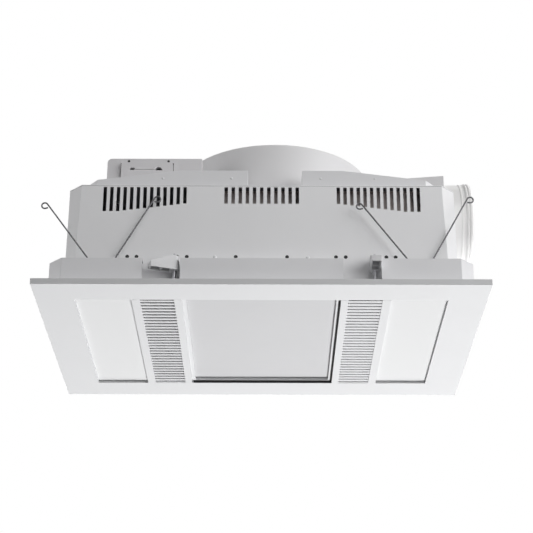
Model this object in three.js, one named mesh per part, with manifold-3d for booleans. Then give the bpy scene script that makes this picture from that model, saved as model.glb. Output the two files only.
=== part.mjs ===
// Bathroom ceiling heater: two radiant heat panels, two louvred air intakes, a centre light and an
// exhaust fan behind one flat fascia. The fascia hangs on four V springs and drops for cleaning.
// Millimetres, +Z up. The origin is the middle of the fascia's underside, -Y is the front.

import * as THREE from "three";
import { mergeVertices } from "three/addons/utils/BufferGeometryUtils.js";
import Module from "manifold-3d";

// Clearances shared by all pieces
const seatGap = 0.3; // between pieces that lie on each other
const embed = 0.4; // how far shapes of one piece run into each other
const overrun = 6; // how far a cutting shape runs past what it cuts

// Fascia, from its middle outwards
const centreWidth = 200;
const innerRail = 12;
const louvreWidth = 44;
const outerRail = 11;
const sidePanelWidth = 73;
const openingDepth = 310;
const panelLap = 4.5; // how far a panel lies over the rail or lip that carries it
const panelClear = 2;
const fasciaSheet = 2;
const fasciaLip = 8;
const innerLip = 3.7;
const flangeClear = 4; // between the ceiling flange and the fascia's outer lip

// Panels and light behind the fascia
const glassThick = 4;
const bezelThick = 4;
const bezelLedge = 3;
const diffuserThick = 3;
const trayHeight = 10.5;
const trayInset = 4;
const trayChamfer = 3;
const traySkin = 1;

// Louvres
const bladePitch = 10;
const bladeCount = 30;
const bladeDrop = 0.8; // blade faces stand this far inside the fascia's face
const bladeSkin = 1.2;
const bladeRise = 7.4;
const bladeStripShare = 0.55;
const bladeLeanShare = 0.4;
const louvreWall = 2;
const louvreWallHeight = 10;
const louvreTab = 2;

// Folded sheet-metal mounting frame and housing
const sheet = 1.2;
const flangeLedge = 8; // flange inside the housing's outer face
const collarGap = 18; // between the housing's and the collar's outer faces
const flangeOut = 11.5; // flange outside the collar, which bears on the ceiling
const collarHeight = 36.5;
const cornerChamfer = 17.5;
const cornerChamferLow = 12.5; // at the foot of the housing's walls
const cornerReturn = 11;
const housingHeight = 150.6; // ceiling line to the top of the roof
const returnLip = 15;

// Ventilation slots and screw holes of the front and rear walls
const slotWidth = 4.6;
const slotTopDrop = 3.3;
const shortSlot = 24;
const longSlot = 35.3;
const sideSlotStart = 100.8;
const sideSlotPitch = 8.75;
const sideSlotCount = 13;
const longSlotCount = 3;
const centreSlotPitch = 9.35;
const centreSlotCount = 11;
const wallHoleRadius = 2.1;
const wallHoleRise = 10;
const wallHoleShares = [0.13, 0.378, 0.427, 0.633, 0.68]; // of the housing's half width

// Exhaust fan
const fanRadius = 135;
const fanHeight = 145.4;
const fanSink = 63.6; // how deep the fan housing hangs below the top of the roof
const fanOffset = 17.5;
const fanWall = 1.5;
const fanFlange = 6;
const fanEdgeRound = 4;
const inletRadius = 70;
const impellerRadius = 105;
const impellerHeight = 76;
const impellerClear = 7.5;
const bladeRing = 20;
const impellerSheet = 2;
const impellerBlades = 24;
const impellerCurveShare = 0.9;
const hubRadius = 12;
const hubHeight = 14;
const shaftRadius = 4;
const motorRadius = 48;
const motorClear = 4;
const motorFoot = 5;
const bearingDepth = 22;

// Duct connection for a 125 mm flexible duct
const spigotRadius = 61;
const spigotWall = 1.2;
const spigotLength = 35.5;
const spigotBead = 1.5;
const spigotBeadWidth = 9;
const spigotFlange = 2.5;
const throatRadius = 50; // of the ring inside the spigot that the flap shuts
const throatDepth = 9.5;
const throatTaper = 5;
const ductHoleClear = 1;
const ductSize = 110; // outer width and height of the square duct
const ductRearOffset = 0.3;
const ductSetback = 6.5;
const ductSplay = 23.4;
const ductRoot = 82.5; // where the duct leaves the fan housing, from the fan's axis
const flapClear = 1.3;
const flapThick = 1;
const flapPivotRise = 8;
const flapInset = 4.5;
const flapPinRadius = 1.5;
const flapPinReach = 5;

// Raised hoods on the roof's front edge
const hoodInset = 4.5;
const hoodDepth = 22; // least depth of a hood between the roof's front edge and the fan's flange
const hoodHeight = 23.9;
const hoodEndHeight = 9.6;
const hoodEndInset = 37.5;
const hoodKneeShare = 0.495; // of the run from the middle of the roof to a hood's end
const hoodFanGap = 36;
const hoodClear = 2;

// Electrical box, cable clamp and terminal strip
const terminalLength = 127.7;
const terminalDepth = 32.5;
const terminalHeight = 57;
const terminalRound = 6;
const terminalClear = 2.2;
const clampDepth = 5;
const clampHoodGap = 1.2;
const clampPlateLength = 69.6;
const clampPlateInset = 19.1;
const clampPlateTopDrop = 8.3;
const clampPlateCorner = 3.5;
const cableHoleRadius = 5;
const cableHoleDrop = 20.6;
const cableHoleShares = [0.216, 0.726]; // along the clamp plate
const clampSlotRadius = 1.8;
const clampSlotReach = 1.7; // from the slot's middle to the middle of its round ends
const clampSlotRise = 2.3; // slot above the cable hole's flat edge
const stripLength = 62;
const stripDepth = 16;
const stripHeight = 14;
const stripWells = 5;
const wellRadius = 3;
const wellDepth = 6;

// Radiant heaters
const reflectorSide = 3.5; // reflector edge inside the glass panel's clear width
const reflectorRise = 4;
const reflectorHeight = 50;
const reflectorSheet = 0.8;
const reflectorSteps = 10;
const tubeRadius = 5;
const tubeHeight = 28;
const tubeCapRadius = 7;
const tubeCapLength = 14;

// Light driver
const driverLength = 110;
const driverDepth = 28;
const driverHeight = 28;
const driverChamfer = 3;
const driverRise = 68;

// V springs
const springX = 204.5; // coil centres from the middle of the front
const springWire = 2;
const springCoilRadius = 4.2;
const springPitch = 2.55;
const springTurns = 3;
const springLeftArm = 120;
const springRightArm = 126;
const springEyeRadius = 4;
const springEyeSteps = 12;
const springEyeTurn = 250;
const springEyeTail = 3.05; // straight end of the eye, which runs back to the leg
const springCoilHeight = 20.7; // coil axis above the ceiling line
const springLeftLean = 36;
const springRightLean = 29;
const springNotch = 56;
const springWell = 30;
const bracketFoot = 24;
const bracketTab = 16;
const bracketSheet = 1.2;
const bracketClear = 0.45;
const bracketAbovePin = 5;
const bracketHead = 0.8;
const bracketHeadRadius = 3.8;

// Swing clamps
const clampGapWidth = 48.5;
const clampLeftCentre = 127.8;
const clampRightCentre = 128.8;
const clampEdge = 7.8; // screw axis from the gap's end
const clampReach = 33;
const clampWidth = 12.5;
const clampRootHeight = 20;
const clampTipHeight = 8;
const clampSkin = 1.8; // walls of the arm, which is hollow underneath
const clampRibShare = 0.45; // of the arm's hollow, from its boss to the rib across it
const boardGap = 22; // flange to arm, for the ceiling board
const leftArmSwing = 20;
const rightArmSwing = 90;
const screwRadius = 2.5;
const screwHeadRadius = 5;
const screwHeadClear = 1.2;
const screwTip = 4;
const nutRadius = 4.6;
const nutHeight = 5;
const nutTopDrop = 5;

// Facets of round shapes
const smallFacets = 12;
const roundFacets = 24;
const fineFacets = 40;
const fanFacets = 56;
const holeFacets = 8;
const wireSides = 5;
const turnSteps = 8;

// Places worked out from the sizes above
const centreHalf = centreWidth / 2;
const louvreInner = centreHalf + innerRail;
const louvreOuter = louvreInner + louvreWidth;
const sidePanelInner = louvreOuter + outerRail;
const openingX = sidePanelInner + sidePanelWidth;
const openingY = openingDepth / 2;
const flangeInnerX = openingX + panelLap + panelClear;
const flangeInnerY = openingY + panelLap + panelClear;
const housingX = flangeInnerX + flangeLedge;
const hoodRear = fanRadius + fanFlange + hoodClear;
const housingY = Math.max(flangeInnerY + flangeLedge, hoodRear + hoodDepth + hoodInset);
const collarX = housingX + collarGap;
const collarY = housingY + collarGap;
const flangeX = collarX + flangeOut;
const flangeY = collarY + flangeOut;
const fasciaX = flangeX + flangeClear + fasciaSheet;
const fasciaY = flangeY + flangeClear + fasciaSheet;
const panelFloor = innerLip + seatGap;
const ceilingLine = fasciaLip;
const flangeBottom = ceilingLine - sheet;
const collarTop = ceilingLine + collarHeight;
const roofTop = ceilingLine + housingHeight;
const roofBottom = roofTop - sheet;
const wallBottom = ceilingLine + seatGap;
const wallTop = roofBottom - seatGap;
const onRoof = roofTop + seatGap;
const innerWallY = housingY - sheet;
const channelY = housingY + collarGap / 2; // middle of the space between housing and collar
const fanBottom = roofTop - fanSink;
const fanTop = fanBottom + fanHeight;
const ductFront = ductRearOffset - ductSize;
const ductMiddle = ductRearOffset - ductSize / 2;
const ductEnd = housingX - ductSetback;
const ductAxis = fanBottom + ductSize / 2;
const spigotPlate = ductEnd + seatGap;
const spigotFace = spigotPlate + sheet;
const impellerBottom = fanBottom + fanWall + impellerClear;
const impellerTop = impellerBottom + impellerHeight;
const motorBottom = impellerTop + motorClear;
const hoodFront = housingY - hoodInset;
const terminalFront = hoodRear - clampHoodGap - clampDepth - seatGap;
const terminalRear = terminalFront - terminalDepth;
const fanKeepOut = fanRadius + fanFlange + terminalClear;
const terminalRight = fanOffset - Math.sqrt(fanKeepOut ** 2 - terminalRear ** 2);
const terminalLeft = terminalRight - terminalLength;
const springAxisZ = ceilingLine + springCoilHeight;
const armBottom = ceilingLine + boardGap;

const wasm = await Module();
wasm.setup();

// One closed solid from a closed three.js geometry.
function solid(geometry) {
  const bare = geometry.clone();
  bare.deleteAttribute("normal");
  bare.deleteAttribute("uv");
  const merged = mergeVertices(bare, 1e-4);
  return new wasm.Manifold(
    new wasm.Mesh({
      numProp: 3,
      vertProperties: merged.attributes.position.array,
      triVerts: new Uint32Array(merged.index.array),
    }),
  );
}

function join(first, ...others) {
  return others.reduce((whole, other) => whole.add(other), first);
}

function cut(first, ...cutters) {
  return cutters.reduce((rest, cutter) => rest.subtract(cutter), first);
}

// A three.js mesh of a finished solid.
function piece(name, made, material) {
  const data = made.getMesh();
  const geometry = new THREE.BufferGeometry();
  const places = new Float32Array(data.numVert * 3);
  for (let i = 0; i < data.numVert; i++) {
    const from = i * data.numProp;
    places.set(data.vertProperties.subarray(from, from + 3), i * 3);
  }
  geometry.setAttribute("position", new THREE.BufferAttribute(places, 3));
  geometry.setIndex(new THREE.BufferAttribute(data.triVerts, 1));
  geometry.computeVertexNormals();
  const mesh = new THREE.Mesh(geometry, material);
  mesh.name = name;
  return mesh;
}

function shapeOf(outline) {
  return new THREE.Shape(outline.map(([u, v]) => new THREE.Vector2(u, v)));
}

// Outline in X and Y, standing from one height to another.
function prismZ(outline, low, high) {
  const settings = { depth: high - low, bevelEnabled: false };
  return solid(new THREE.ExtrudeGeometry(shapeOf(outline), settings).translate(0, 0, low));
}

// Outline in X and Z, running from one Y to another.
function prismY(outline, front, rear) {
  const settings = { depth: rear - front, bevelEnabled: false };
  const geometry = new THREE.ExtrudeGeometry(shapeOf(outline), settings);
  return solid(geometry.translate(0, 0, -rear).rotateX(Math.PI / 2));
}

// Outline in Y and Z, running from one X to another.
function prismX(outline, left, right) {
  const settings = { depth: right - left, bevelEnabled: false };
  const geometry = new THREE.ExtrudeGeometry(shapeOf(outline), settings);
  const turn = new THREE.Matrix4().set(0, 0, 1, left, 1, 0, 0, 0, 0, 1, 0, 0, 0, 0, 0, 1);
  return solid(geometry.applyMatrix4(turn));
}

function box(x, y, z) {
  const low = [x, y, z].map((span) => Math.min(...span));
  const size = [x, y, z].map((span) => Math.abs(span[1] - span[0]));
  const middle = low.map((value, i) => value + size[i] / 2);
  return solid(new THREE.BoxGeometry(...size).translate(...middle));
}

function rodZ(x, y, radius, low, high, facets = smallFacets) {
  const geometry = new THREE.CylinderGeometry(radius, radius, high - low, facets);
  return solid(geometry.rotateX(Math.PI / 2).translate(x, y, (low + high) / 2));
}

function rodY(x, z, radius, front, rear, facets = smallFacets) {
  const geometry = new THREE.CylinderGeometry(radius, radius, rear - front, facets);
  return solid(geometry.translate(x, (front + rear) / 2, z));
}

// A turned shape round a vertical axis: the profile is [radius, height], closed on the axis.
function turned(profile, facets) {
  const points = profile.map(([r, h]) => new THREE.Vector2(r, h));
  return new THREE.LatheGeometry(points, facets).rotateX(Math.PI / 2);
}

// A closed outline of even thickness to the left of an open line of points.
function ribbon(points, thick) {
  const inner = points.map((point, i) => {
    const before = points[Math.max(i - 1, 0)];
    const after = points[Math.min(i + 1, points.length - 1)];
    const into = new THREE.Vector2(point[0] - before[0], point[1] - before[1]).normalize();
    const out = new THREE.Vector2(after[0] - point[0], after[1] - point[1]).normalize();
    const along = into.clone().add(out).normalize();
    const reach = thick / along.dot(i === 0 ? out : into);
    return [point[0] - along.y * reach, point[1] + along.x * reach];
  });
  return [...points, ...inner.reverse()];
}

// Rings of like points joined into one closed solid, its ends filled as the section says.
function loft(rings, section) {
  const count = section.length;
  const index = [];
  for (let k = 0; k < rings.length - 1; k++) {
    for (let i = 0; i < count; i++) {
      const a = k * count + i;
      const b = k * count + ((i + 1) % count);
      index.push(a, b, b + count, a, b + count, a + count);
    }
  }
  const last = (rings.length - 1) * count;
  for (const [i, j, k] of THREE.ShapeUtils.triangulateShape(section, [])) {
    index.push(i, k, j, last + i, last + j, last + k);
  }
  const geometry = new THREE.BufferGeometry().setFromPoints(rings.flat());
  geometry.setIndex(index);
  return solid(geometry);
}

// Round wire along a line of points in space.
function wire(points, radius, sides) {
  const section = [];
  for (let i = 0; i < sides; i++) {
    const angle = (2 * Math.PI * i) / sides;
    section.push(new THREE.Vector2(Math.cos(angle), Math.sin(angle)));
  }
  let across = new THREE.Vector3(0, 1, 0);
  const rings = points.map((point, i) => {
    const before = points[Math.max(i - 1, 0)];
    const after = points[Math.min(i + 1, points.length - 1)];
    const along = after.clone().sub(before).normalize();
    across = across.clone().addScaledVector(along, -across.dot(along)).normalize();
    const up = along.clone().cross(across);
    return section.map((s) =>
      point.clone().addScaledVector(across, s.x * radius).addScaledVector(up, s.y * radius),
    );
  });
  return loft(rings, section);
}

function finish(color, roughness, metalness) {
  return new THREE.MeshStandardMaterial({ color, roughness, metalness });
}

const materials = {
  fascia: finish(0xe6e6e8, 0.4, 0),
  panel: finish(0xeef0f2, 0.15, 0),
  diffuser: finish(0xd9dbde, 0.6, 0),
  coated: finish(0xbdbec2, 0.55, 0.1),
  dull: finish(0xa5a4a8, 0.6, 0.1),
  moulded: finish(0xc9cacc, 0.5, 0),
  duct: finish(0xdcdddf, 0.5, 0),
  steel: finish(0x8f9296, 0.35, 1),
  brass: finish(0xb59a5a, 0.35, 1),
  reflector: finish(0xd8dade, 0.15, 1),
  quartz: finish(0xe9e4dc, 0.1, 0),
  motor: finish(0x5c5e63, 0.5, 0.6),
  strip: finish(0xe4e2dc, 0.5, 0),
};

const frontHalf = new THREE.Group();
const rearHalf = new THREE.Group();
rearHalf.rotation.z = Math.PI;
const unit = new THREE.Group();
unit.add(frontHalf, rearHalf);

// Each fascia side is a C section cut to a mitre at both ends; out is the distance from the middle.
function fasciaSide(half, otherHalf) {
  const inner = half - (fasciaY - openingY);
  const section = [
    [inner, innerLip],
    [inner + fasciaSheet, innerLip],
    [inner + fasciaSheet, fasciaSheet],
    [half - fasciaSheet, fasciaSheet],
    [half - fasciaSheet, fasciaLip],
    [half, fasciaLip],
    [half, 0],
    [inner, 0],
  ];
  const ends = [-1, 1].map((end) =>
    section.map(([out, z]) => {
      const along = out + otherHalf - half - seatGap / 2;
      return new THREE.Vector3(end * along, -out, z);
    }),
  );
  return loft(
    ends,
    section.map(([out, z]) => new THREE.Vector2(-out, z)),
  );
}

function addFascia() {
  frontHalf.add(piece("fascia_front", fasciaSide(fasciaY, fasciaX), materials.fascia));
  rearHalf.add(piece("fascia_rear", fasciaSide(fasciaY, fasciaX), materials.fascia));
  for (const [name, turn] of [
    ["fascia_left", -Math.PI / 2],
    ["fascia_right", Math.PI / 2],
  ]) {
    const side = piece(name, fasciaSide(fasciaX, fasciaY), materials.fascia);
    side.rotation.z = turn;
    unit.add(side);
  }
}

// Flat glass panels lie on the fascia's inner lip and on the louvre frame's outer rail.
function addGlass() {
  const glassY = openingY + panelLap;
  for (const [name, side] of [
    ["glass_panel_left", -1],
    ["glass_panel_right", 1],
  ]) {
    const across = [side * (sidePanelInner - panelLap), side * (openingX + panelLap)];
    const made = box(across, [-glassY, glassY], [panelFloor, panelFloor + glassThick]);
    unit.add(piece(name, made, materials.panel));
  }
}

// Each louvre frame has two rails, two inner walls, end bars with tabs over the fascia's lip, and
// blades whose flat strips face down and whose fins lean over the gaps.
function louvreFrame(side) {
  const endY = openingY - seatGap;
  const gridY = (bladePitch * bladeCount) / 2;
  const wallIn = [side * (louvreInner - louvreWall), side * louvreInner];
  const wallOut = [side * louvreOuter, side * (louvreOuter + louvreWall)];
  const parts = [
    box([side * (centreHalf + seatGap / 2), side * louvreInner], [-endY, endY], [0, innerLip]),
    box([side * louvreOuter, side * sidePanelInner], [-endY, endY], [0, innerLip]),
    box(wallIn, [-endY, endY], [0, louvreWallHeight]),
    box(wallOut, [-endY, endY], [0, louvreWallHeight]),
  ];
  for (const end of [-1, 1]) {
    const bar = [end * gridY, end * endY];
    const tab = [end * gridY, end * (openingY + panelLap)];
    const tabHeight = [panelFloor, panelFloor + louvreTab];
    const across = [side * (louvreInner - embed), side * (louvreOuter + embed)];
    parts.push(box(across, bar, [0, panelFloor + embed]));
    parts.push(box([side * louvreInner, side * louvreOuter], tab, tabHeight));
  }
  const strip = bladePitch * bladeStripShare;
  const lean = bladePitch * bladeLeanShare;
  const stripTop = bladeDrop + bladeSkin;
  const finTop = bladeDrop + bladeRise;
  for (let k = 0; k < bladeCount; k++) {
    const near = -gridY + bladePitch * (k + 1) - strip;
    const far = near + strip;
    const outline = [
      [near, bladeDrop],
      [far, bladeDrop],
      [far + lean - bladeSkin, finTop],
      [far + lean - bladeSkin - bladeSkin, finTop],
      [far - bladeSkin - embed, stripTop],
      [near, stripTop],
    ];
    const ends = [side * (louvreInner - embed), side * (louvreOuter + embed)];
    parts.push(prismX(outline, Math.min(...ends), Math.max(...ends)));
  }
  return join(...parts);
}

// The light: a stepped bezel frame, a diffuser sheet over it and a tray open towards the sheet.
function addLight() {
  const outX = centreHalf + panelLap;
  const outY = openingY + panelLap;
  const inX = centreHalf - bezelLedge;
  const inY = openingY - bezelLedge;
  const bezelTop = panelFloor + bezelThick;
  const bezel = cut(
    box([-outX, outX], [-outY, outY], [panelFloor, bezelTop]),
    box([-inX, inX], [-inY, inY], [panelFloor - overrun, bezelTop + overrun]),
  );
  unit.add(piece("light_bezel", bezel, materials.fascia));

  const sheetBottom = bezelTop + seatGap;
  const sheetTop = sheetBottom + diffuserThick;
  const sheetX = outX - seatGap;
  const sheetY = outY - seatGap;
  const diffuser = box([-sheetX, sheetX], [-sheetY, sheetY], [sheetBottom, sheetTop]);
  unit.add(piece("light_diffuser", diffuser, materials.diffuser));

  const trayX = sheetX - trayInset;
  const trayY = sheetY - trayInset;
  const trayBottom = sheetTop + seatGap;
  const trayTop = trayBottom + trayHeight;
  const trayBody = (inset, low) => {
    const half = trayX - inset;
    const top = trayTop - inset;
    const end = [
      [-half, low],
      [half, low],
      [half, top - trayChamfer],
      [half - trayChamfer, top],
      [trayChamfer - half, top],
      [-half, top - trayChamfer],
    ];
    return prismY(end, inset - trayY, trayY - inset);
  };
  const tray = cut(trayBody(0, trayBottom), trayBody(traySkin, trayBottom - overrun));
  unit.add(piece("light_tray", tray, materials.coated));
}

// The front and rear mounting rails: a flange against the ceiling, and a collar wall with a gap for
// each swing clamp and a notched lip along its top edge.
function mountRail() {
  const gaps = [
    [-clampLeftCentre - clampGapWidth / 2, -clampLeftCentre + clampGapWidth / 2],
    [clampRightCentre - clampGapWidth / 2, clampRightCentre + clampGapWidth / 2],
  ];
  const wallZ = [flangeBottom, collarTop];
  const bend = collarY - cornerChamfer;
  const corner = collarX - cornerChamfer;
  const line = [
    [-collarX, -flangeInnerY],
    [-collarX, -bend],
    [-corner, -collarY],
    [corner, -collarY],
    [collarX, -bend],
    [collarX, -flangeInnerY],
  ];
  const lipZ = [collarTop - sheet, collarTop];
  const lipY = [-collarY, -collarY + returnLip];
  let rail = join(
    box([-flangeX, flangeX], [-flangeY, -flangeInnerY], [flangeBottom, ceilingLine]),
    prismZ(ribbon(line, sheet), ...wallZ),
    box([-corner, corner], lipY, lipZ),
  );
  for (const gap of gaps) {
    const above = [ceilingLine, collarTop + overrun];
    rail = cut(rail, box(gap, [-collarY - overrun, -collarY + returnLip + overrun], above));
  }
  for (const middle of springPlaces()) {
    const notch = [middle - springNotch / 2, middle + springNotch / 2];
    const well = [middle - springWell / 2, middle + springWell / 2];
    const notchY = [-collarY + sheet, -collarY + returnLip + overrun];
    const wellHalf = springReachY() + bracketClear + bracketSheet;
    rail = cut(
      rail,
      box(notch, notchY, [collarTop - sheet - embed, collarTop + overrun]),
      box(well, [-channelY - wellHalf, -channelY + wellHalf], [0, ceilingLine + overrun]),
    );
  }
  for (const x of clampScrewPlaces()) {
    rail = cut(rail, rodZ(x, -channelY, screwRadius + seatGap, 0, ceilingLine + overrun));
  }
  return rail;
}

function sideRail(side) {
  const reach = flangeInnerY - seatGap;
  const along = [-reach, reach];
  return join(
    box([side * flangeInnerX, side * flangeX], along, [flangeBottom, ceilingLine]),
    box([side * (collarX - sheet), side * collarX], along, [flangeBottom, collarTop]),
    box([side * (collarX - returnLip), side * collarX], along, [collarTop - sheet, collarTop]),
  );
}

// Folded front or rear wall with its corner chamfers, which narrow towards its foot, ventilation slots
// and screw holes.
function housingWall() {
  const returnEnd = cornerChamfer + cornerReturn - housingY;
  const outline = (chamfer) => {
    const bend = chamfer - housingY;
    const corner = housingX - chamfer;
    const line = [
      [-housingX, returnEnd],
      [-housingX, bend],
      [-corner, -housingY],
      [corner, -housingY],
      [housingX, bend],
      [housingX, returnEnd],
    ];
    return ribbon(line, sheet);
  };
  const ring = (chamfer, z) => outline(chamfer).map(([x, y]) => new THREE.Vector3(x, y, z));
  const wall = loft(
    [ring(cornerChamferLow, wallBottom), ring(cornerChamfer, wallTop)],
    outline(cornerChamfer).map(([x, y]) => new THREE.Vector2(x, y)),
  );
  const through = [-housingY - overrun, -housingY + sheet + overrun];
  const slotTop = roofTop - slotTopDrop;
  const cutters = [];
  const slot = (x, height) =>
    cutters.push(
      box([x - slotWidth / 2, x + slotWidth / 2], through, [slotTop - height, slotTop]),
    );
  for (let k = 0; k < centreSlotCount; k++) {
    slot((k - (centreSlotCount - 1) / 2) * centreSlotPitch, shortSlot);
  }
  for (let k = 0; k < sideSlotCount; k++) {
    const growth = Math.min(k / (sideSlotCount - longSlotCount), 1);
    const height = shortSlot + (longSlot - shortSlot) * growth;
    slot(sideSlotStart + k * sideSlotPitch, height);
    slot(-sideSlotStart - k * sideSlotPitch, height);
  }
  for (const share of wallHoleShares) {
    const z = collarTop + wallHoleRise;
    cutters.push(rodY(share * housingX, z, wallHoleRadius, ...through, holeFacets));
    cutters.push(rodY(-share * housingX, z, wallHoleRadius, ...through, holeFacets));
  }
  return cut(wall, ...cutters);
}

function housingEnd(side) {
  const reach = housingY - cornerChamfer - cornerReturn - seatGap;
  const across = [side * (housingX - sheet), side * housingX];
  const wall = box(across, [-reach, reach], [wallBottom, wallTop]);
  if (side < 0) {
    return wall;
  }
  const pass = [housingX - sheet - overrun, housingX + overrun];
  const half = spigotRadius + seatGap;
  const opening = [ductMiddle - half, ductMiddle + half];
  return cut(
    wall,
    rodOnDuct(half, ...pass),
    box(pass, opening, [ductAxis, wallTop + overrun]),
  );
}

function housingRoof() {
  const cornerX = housingX - cornerChamfer;
  const cornerY = housingY - cornerChamfer;
  const outline = [
    [-cornerX, -housingY],
    [cornerX, -housingY],
    [housingX, -cornerY],
    [housingX, cornerY],
    [cornerX, housingY],
    [-cornerX, housingY],
    [-housingX, cornerY],
    [-housingX, -cornerY],
  ];
  const low = roofBottom - overrun;
  const high = roofTop + overrun;
  const ductPass = [ductFront - seatGap, ductRearOffset + seatGap];
  const half = spigotRadius + spigotFlange + seatGap;
  const spigotPass = [ductMiddle - half, ductMiddle + half];
  return cut(
    prismZ(outline, roofBottom, roofTop),
    rodZ(fanOffset, 0, fanRadius + seatGap, low, high, fanFacets),
    box([fanOffset + ductRoot, housingX + overrun], ductPass, [low, high]),
    box([ductEnd, housingX + overrun], spigotPass, [low, high]),
    rodZ(terminalLeft + terminalDepth / 2, -terminalMiddle(), cableHoleRadius, low, high),
  );
}

function terminalMiddle() {
  return (terminalFront + terminalRear) / 2;
}

// A raised hood on the roof's front edge: its top falls towards the outer end, whose corner is
// chamfered in plan. Each hood is open underneath.
function roofHood(side) {
  const shell = (inset) => {
    const inner = side * fanOffset + hoodFanGap + inset;
    const flank = housingX - hoodEndInset - inset;
    const knee = flank * hoodKneeShare + inset / 2;
    const outer = housingX - hoodEndInset + (hoodFront - hoodRear) - inset;
    const slope = (hoodHeight - hoodEndHeight) / (housingX - hoodEndInset - knee);
    const roofAt = (x) => onRoof + hoodHeight - inset - Math.max(x - knee, 0) * slope;
    const low = inset > 0 ? onRoof - overrun : onRoof;
    const front = [
      [inner, low],
      [outer, low],
      [outer, roofAt(outer)],
      [knee, roofAt(knee)],
      [inner, roofAt(inner)],
    ];
    const nearY = -hoodFront + inset;
    const farY = -hoodRear - inset;
    const plan = [
      [inner, farY],
      [inner, nearY],
      [flank + inset / 2, nearY],
      [flank + inset / 2 + (farY - nearY), farY],
    ];
    const flip = (outline) =>
      side > 0 ? outline : outline.map(([u, v]) => [-u, v]).reverse();
    const height = onRoof + hoodHeight;
    return prismY(flip(front), nearY, farY).intersect(
      prismZ(flip(plan), low - overrun, height + overrun),
    );
  };
  return cut(shell(0), shell(sheet));
}

// A shape turned about the axis of the duct: the profile is [radius, x].
function turnedOnDuct(profile) {
  return solid(
    turned(profile, fineFacets).rotateY(Math.PI / 2).translate(0, ductMiddle, ductAxis),
  );
}

function rodOnDuct(radius, left, right) {
  return turnedOnDuct([[0, left], [radius, left], [radius, right], [0, right]]);
}

// Round fan housing with a square outlet duct on its right, in two halves that meet at the roof: a
// cover whose flange rests on the roof, and a pan below it with the inlet in its floor. The duct's
// end wall has a round hole.
function fanHousing() {
  const inside = fanRadius - fanWall;
  const outer = turned(
    [
      [0, fanBottom],
      [fanRadius, fanBottom],
      [fanRadius, onRoof],
      [fanRadius + fanFlange, onRoof],
      [fanRadius + fanFlange, onRoof + sheet],
      [fanRadius, onRoof + sheet],
      [fanRadius, fanTop - fanEdgeRound],
      [fanRadius - fanEdgeRound * (1 - Math.SQRT1_2), fanTop - fanEdgeRound * (1 - Math.SQRT1_2)],
      [fanRadius - fanEdgeRound, fanTop],
      [0, fanTop],
    ],
    fanFacets,
  ).translate(fanOffset, 0, 0);
  const root = fanOffset + ductRoot;
  const duct = (inset, end) => [
    [root, ductFront + ductSplay + inset],
    [end, ductFront + inset],
    [end, ductRearOffset - inset],
    [root, ductRearOffset - inset],
  ];
  const whole = join(
    solid(outer),
    prismZ(duct(0, ductEnd), fanBottom, fanBottom + ductSize),
  );
  const shell = cut(
    whole,
    rodZ(fanOffset, 0, inside, fanBottom + fanWall, fanTop - fanWall, fanFacets),
    prismZ(duct(fanWall, ductEnd - fanWall), fanBottom + fanWall, fanBottom + ductSize - fanWall),
    rodOnDuct(throatRadius + ductHoleClear, ductEnd - fanWall - overrun, ductEnd + overrun),
    rodZ(fanOffset, 0, inletRadius, fanBottom - overrun, fanBottom + fanWall + overrun, fineFacets),
  );
  const plan = [
    [-flangeX, flangeX],
    [-flangeY, flangeY],
  ];
  return {
    cover: cut(shell, box(...plan, [fanBottom - overrun, onRoof])),
    pan: cut(shell, box(...plan, [roofTop, fanTop + overrun])),
  };
}

// Round duct spigot with its mounting flange, a bead that keeps the duct on, and inside it the narrower
// throat that the flap shuts, with two blind holes for the flap's pin.
function ductSpigot() {
  const end = spigotFace + spigotLength;
  const flange = spigotRadius + spigotFlange;
  const beadStart = end - spigotBeadWidth;
  const bead = spigotRadius + spigotBead;
  const bore = spigotRadius - spigotWall;
  const throatEnd = spigotFace + throatDepth;
  const tube = turnedOnDuct([
    [0, spigotPlate],
    [flange, spigotPlate],
    [flange, spigotFace],
    [spigotRadius, spigotFace],
    [spigotRadius, beadStart],
    [bead, beadStart + spigotBead],
    [bead, end - spigotBead],
    [spigotRadius, end],
    [0, end],
  ]);
  const hollow = turnedOnDuct([
    [0, spigotPlate - overrun],
    [throatRadius, spigotPlate - overrun],
    [throatRadius, throatEnd],
    [bore, throatEnd + throatTaper],
    [bore, end + overrun],
    [0, end + overrun],
  ]);
  const reach = flapReach() + seatGap;
  const pinHole = flapPinRadius + seatGap;
  const pivot = rodY(flapX(), flapZ(), pinHole, ductMiddle - reach, ductMiddle + reach, holeFacets);
  return cut(tube, hollow, pivot);
}

function flapX() {
  return spigotFace + flapInset;
}

function flapZ() {
  return ductAxis + flapPivotRise;
}

// From the middle of the flap's pin to its ends, which stand in the throat's ring.
function flapReach() {
  return Math.sqrt(throatRadius ** 2 - flapPivotRise ** 2) + flapPinReach;
}

// The backdraft flap: a disc on a pin a little above its middle, so that it hangs shut.
function backdraftFlap() {
  const radius = throatRadius - flapClear;
  const reach = flapReach();
  const disc = new THREE.CylinderGeometry(radius, radius, flapThick, fineFacets);
  const laid = solid(disc.rotateZ(Math.PI / 2).translate(flapX(), ductMiddle, ductAxis));
  const pin = rodY(
    flapX(),
    flapZ(),
    flapPinRadius,
    ductMiddle - reach,
    ductMiddle + reach,
    holeFacets,
  );
  return join(laid, pin);
}

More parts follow.
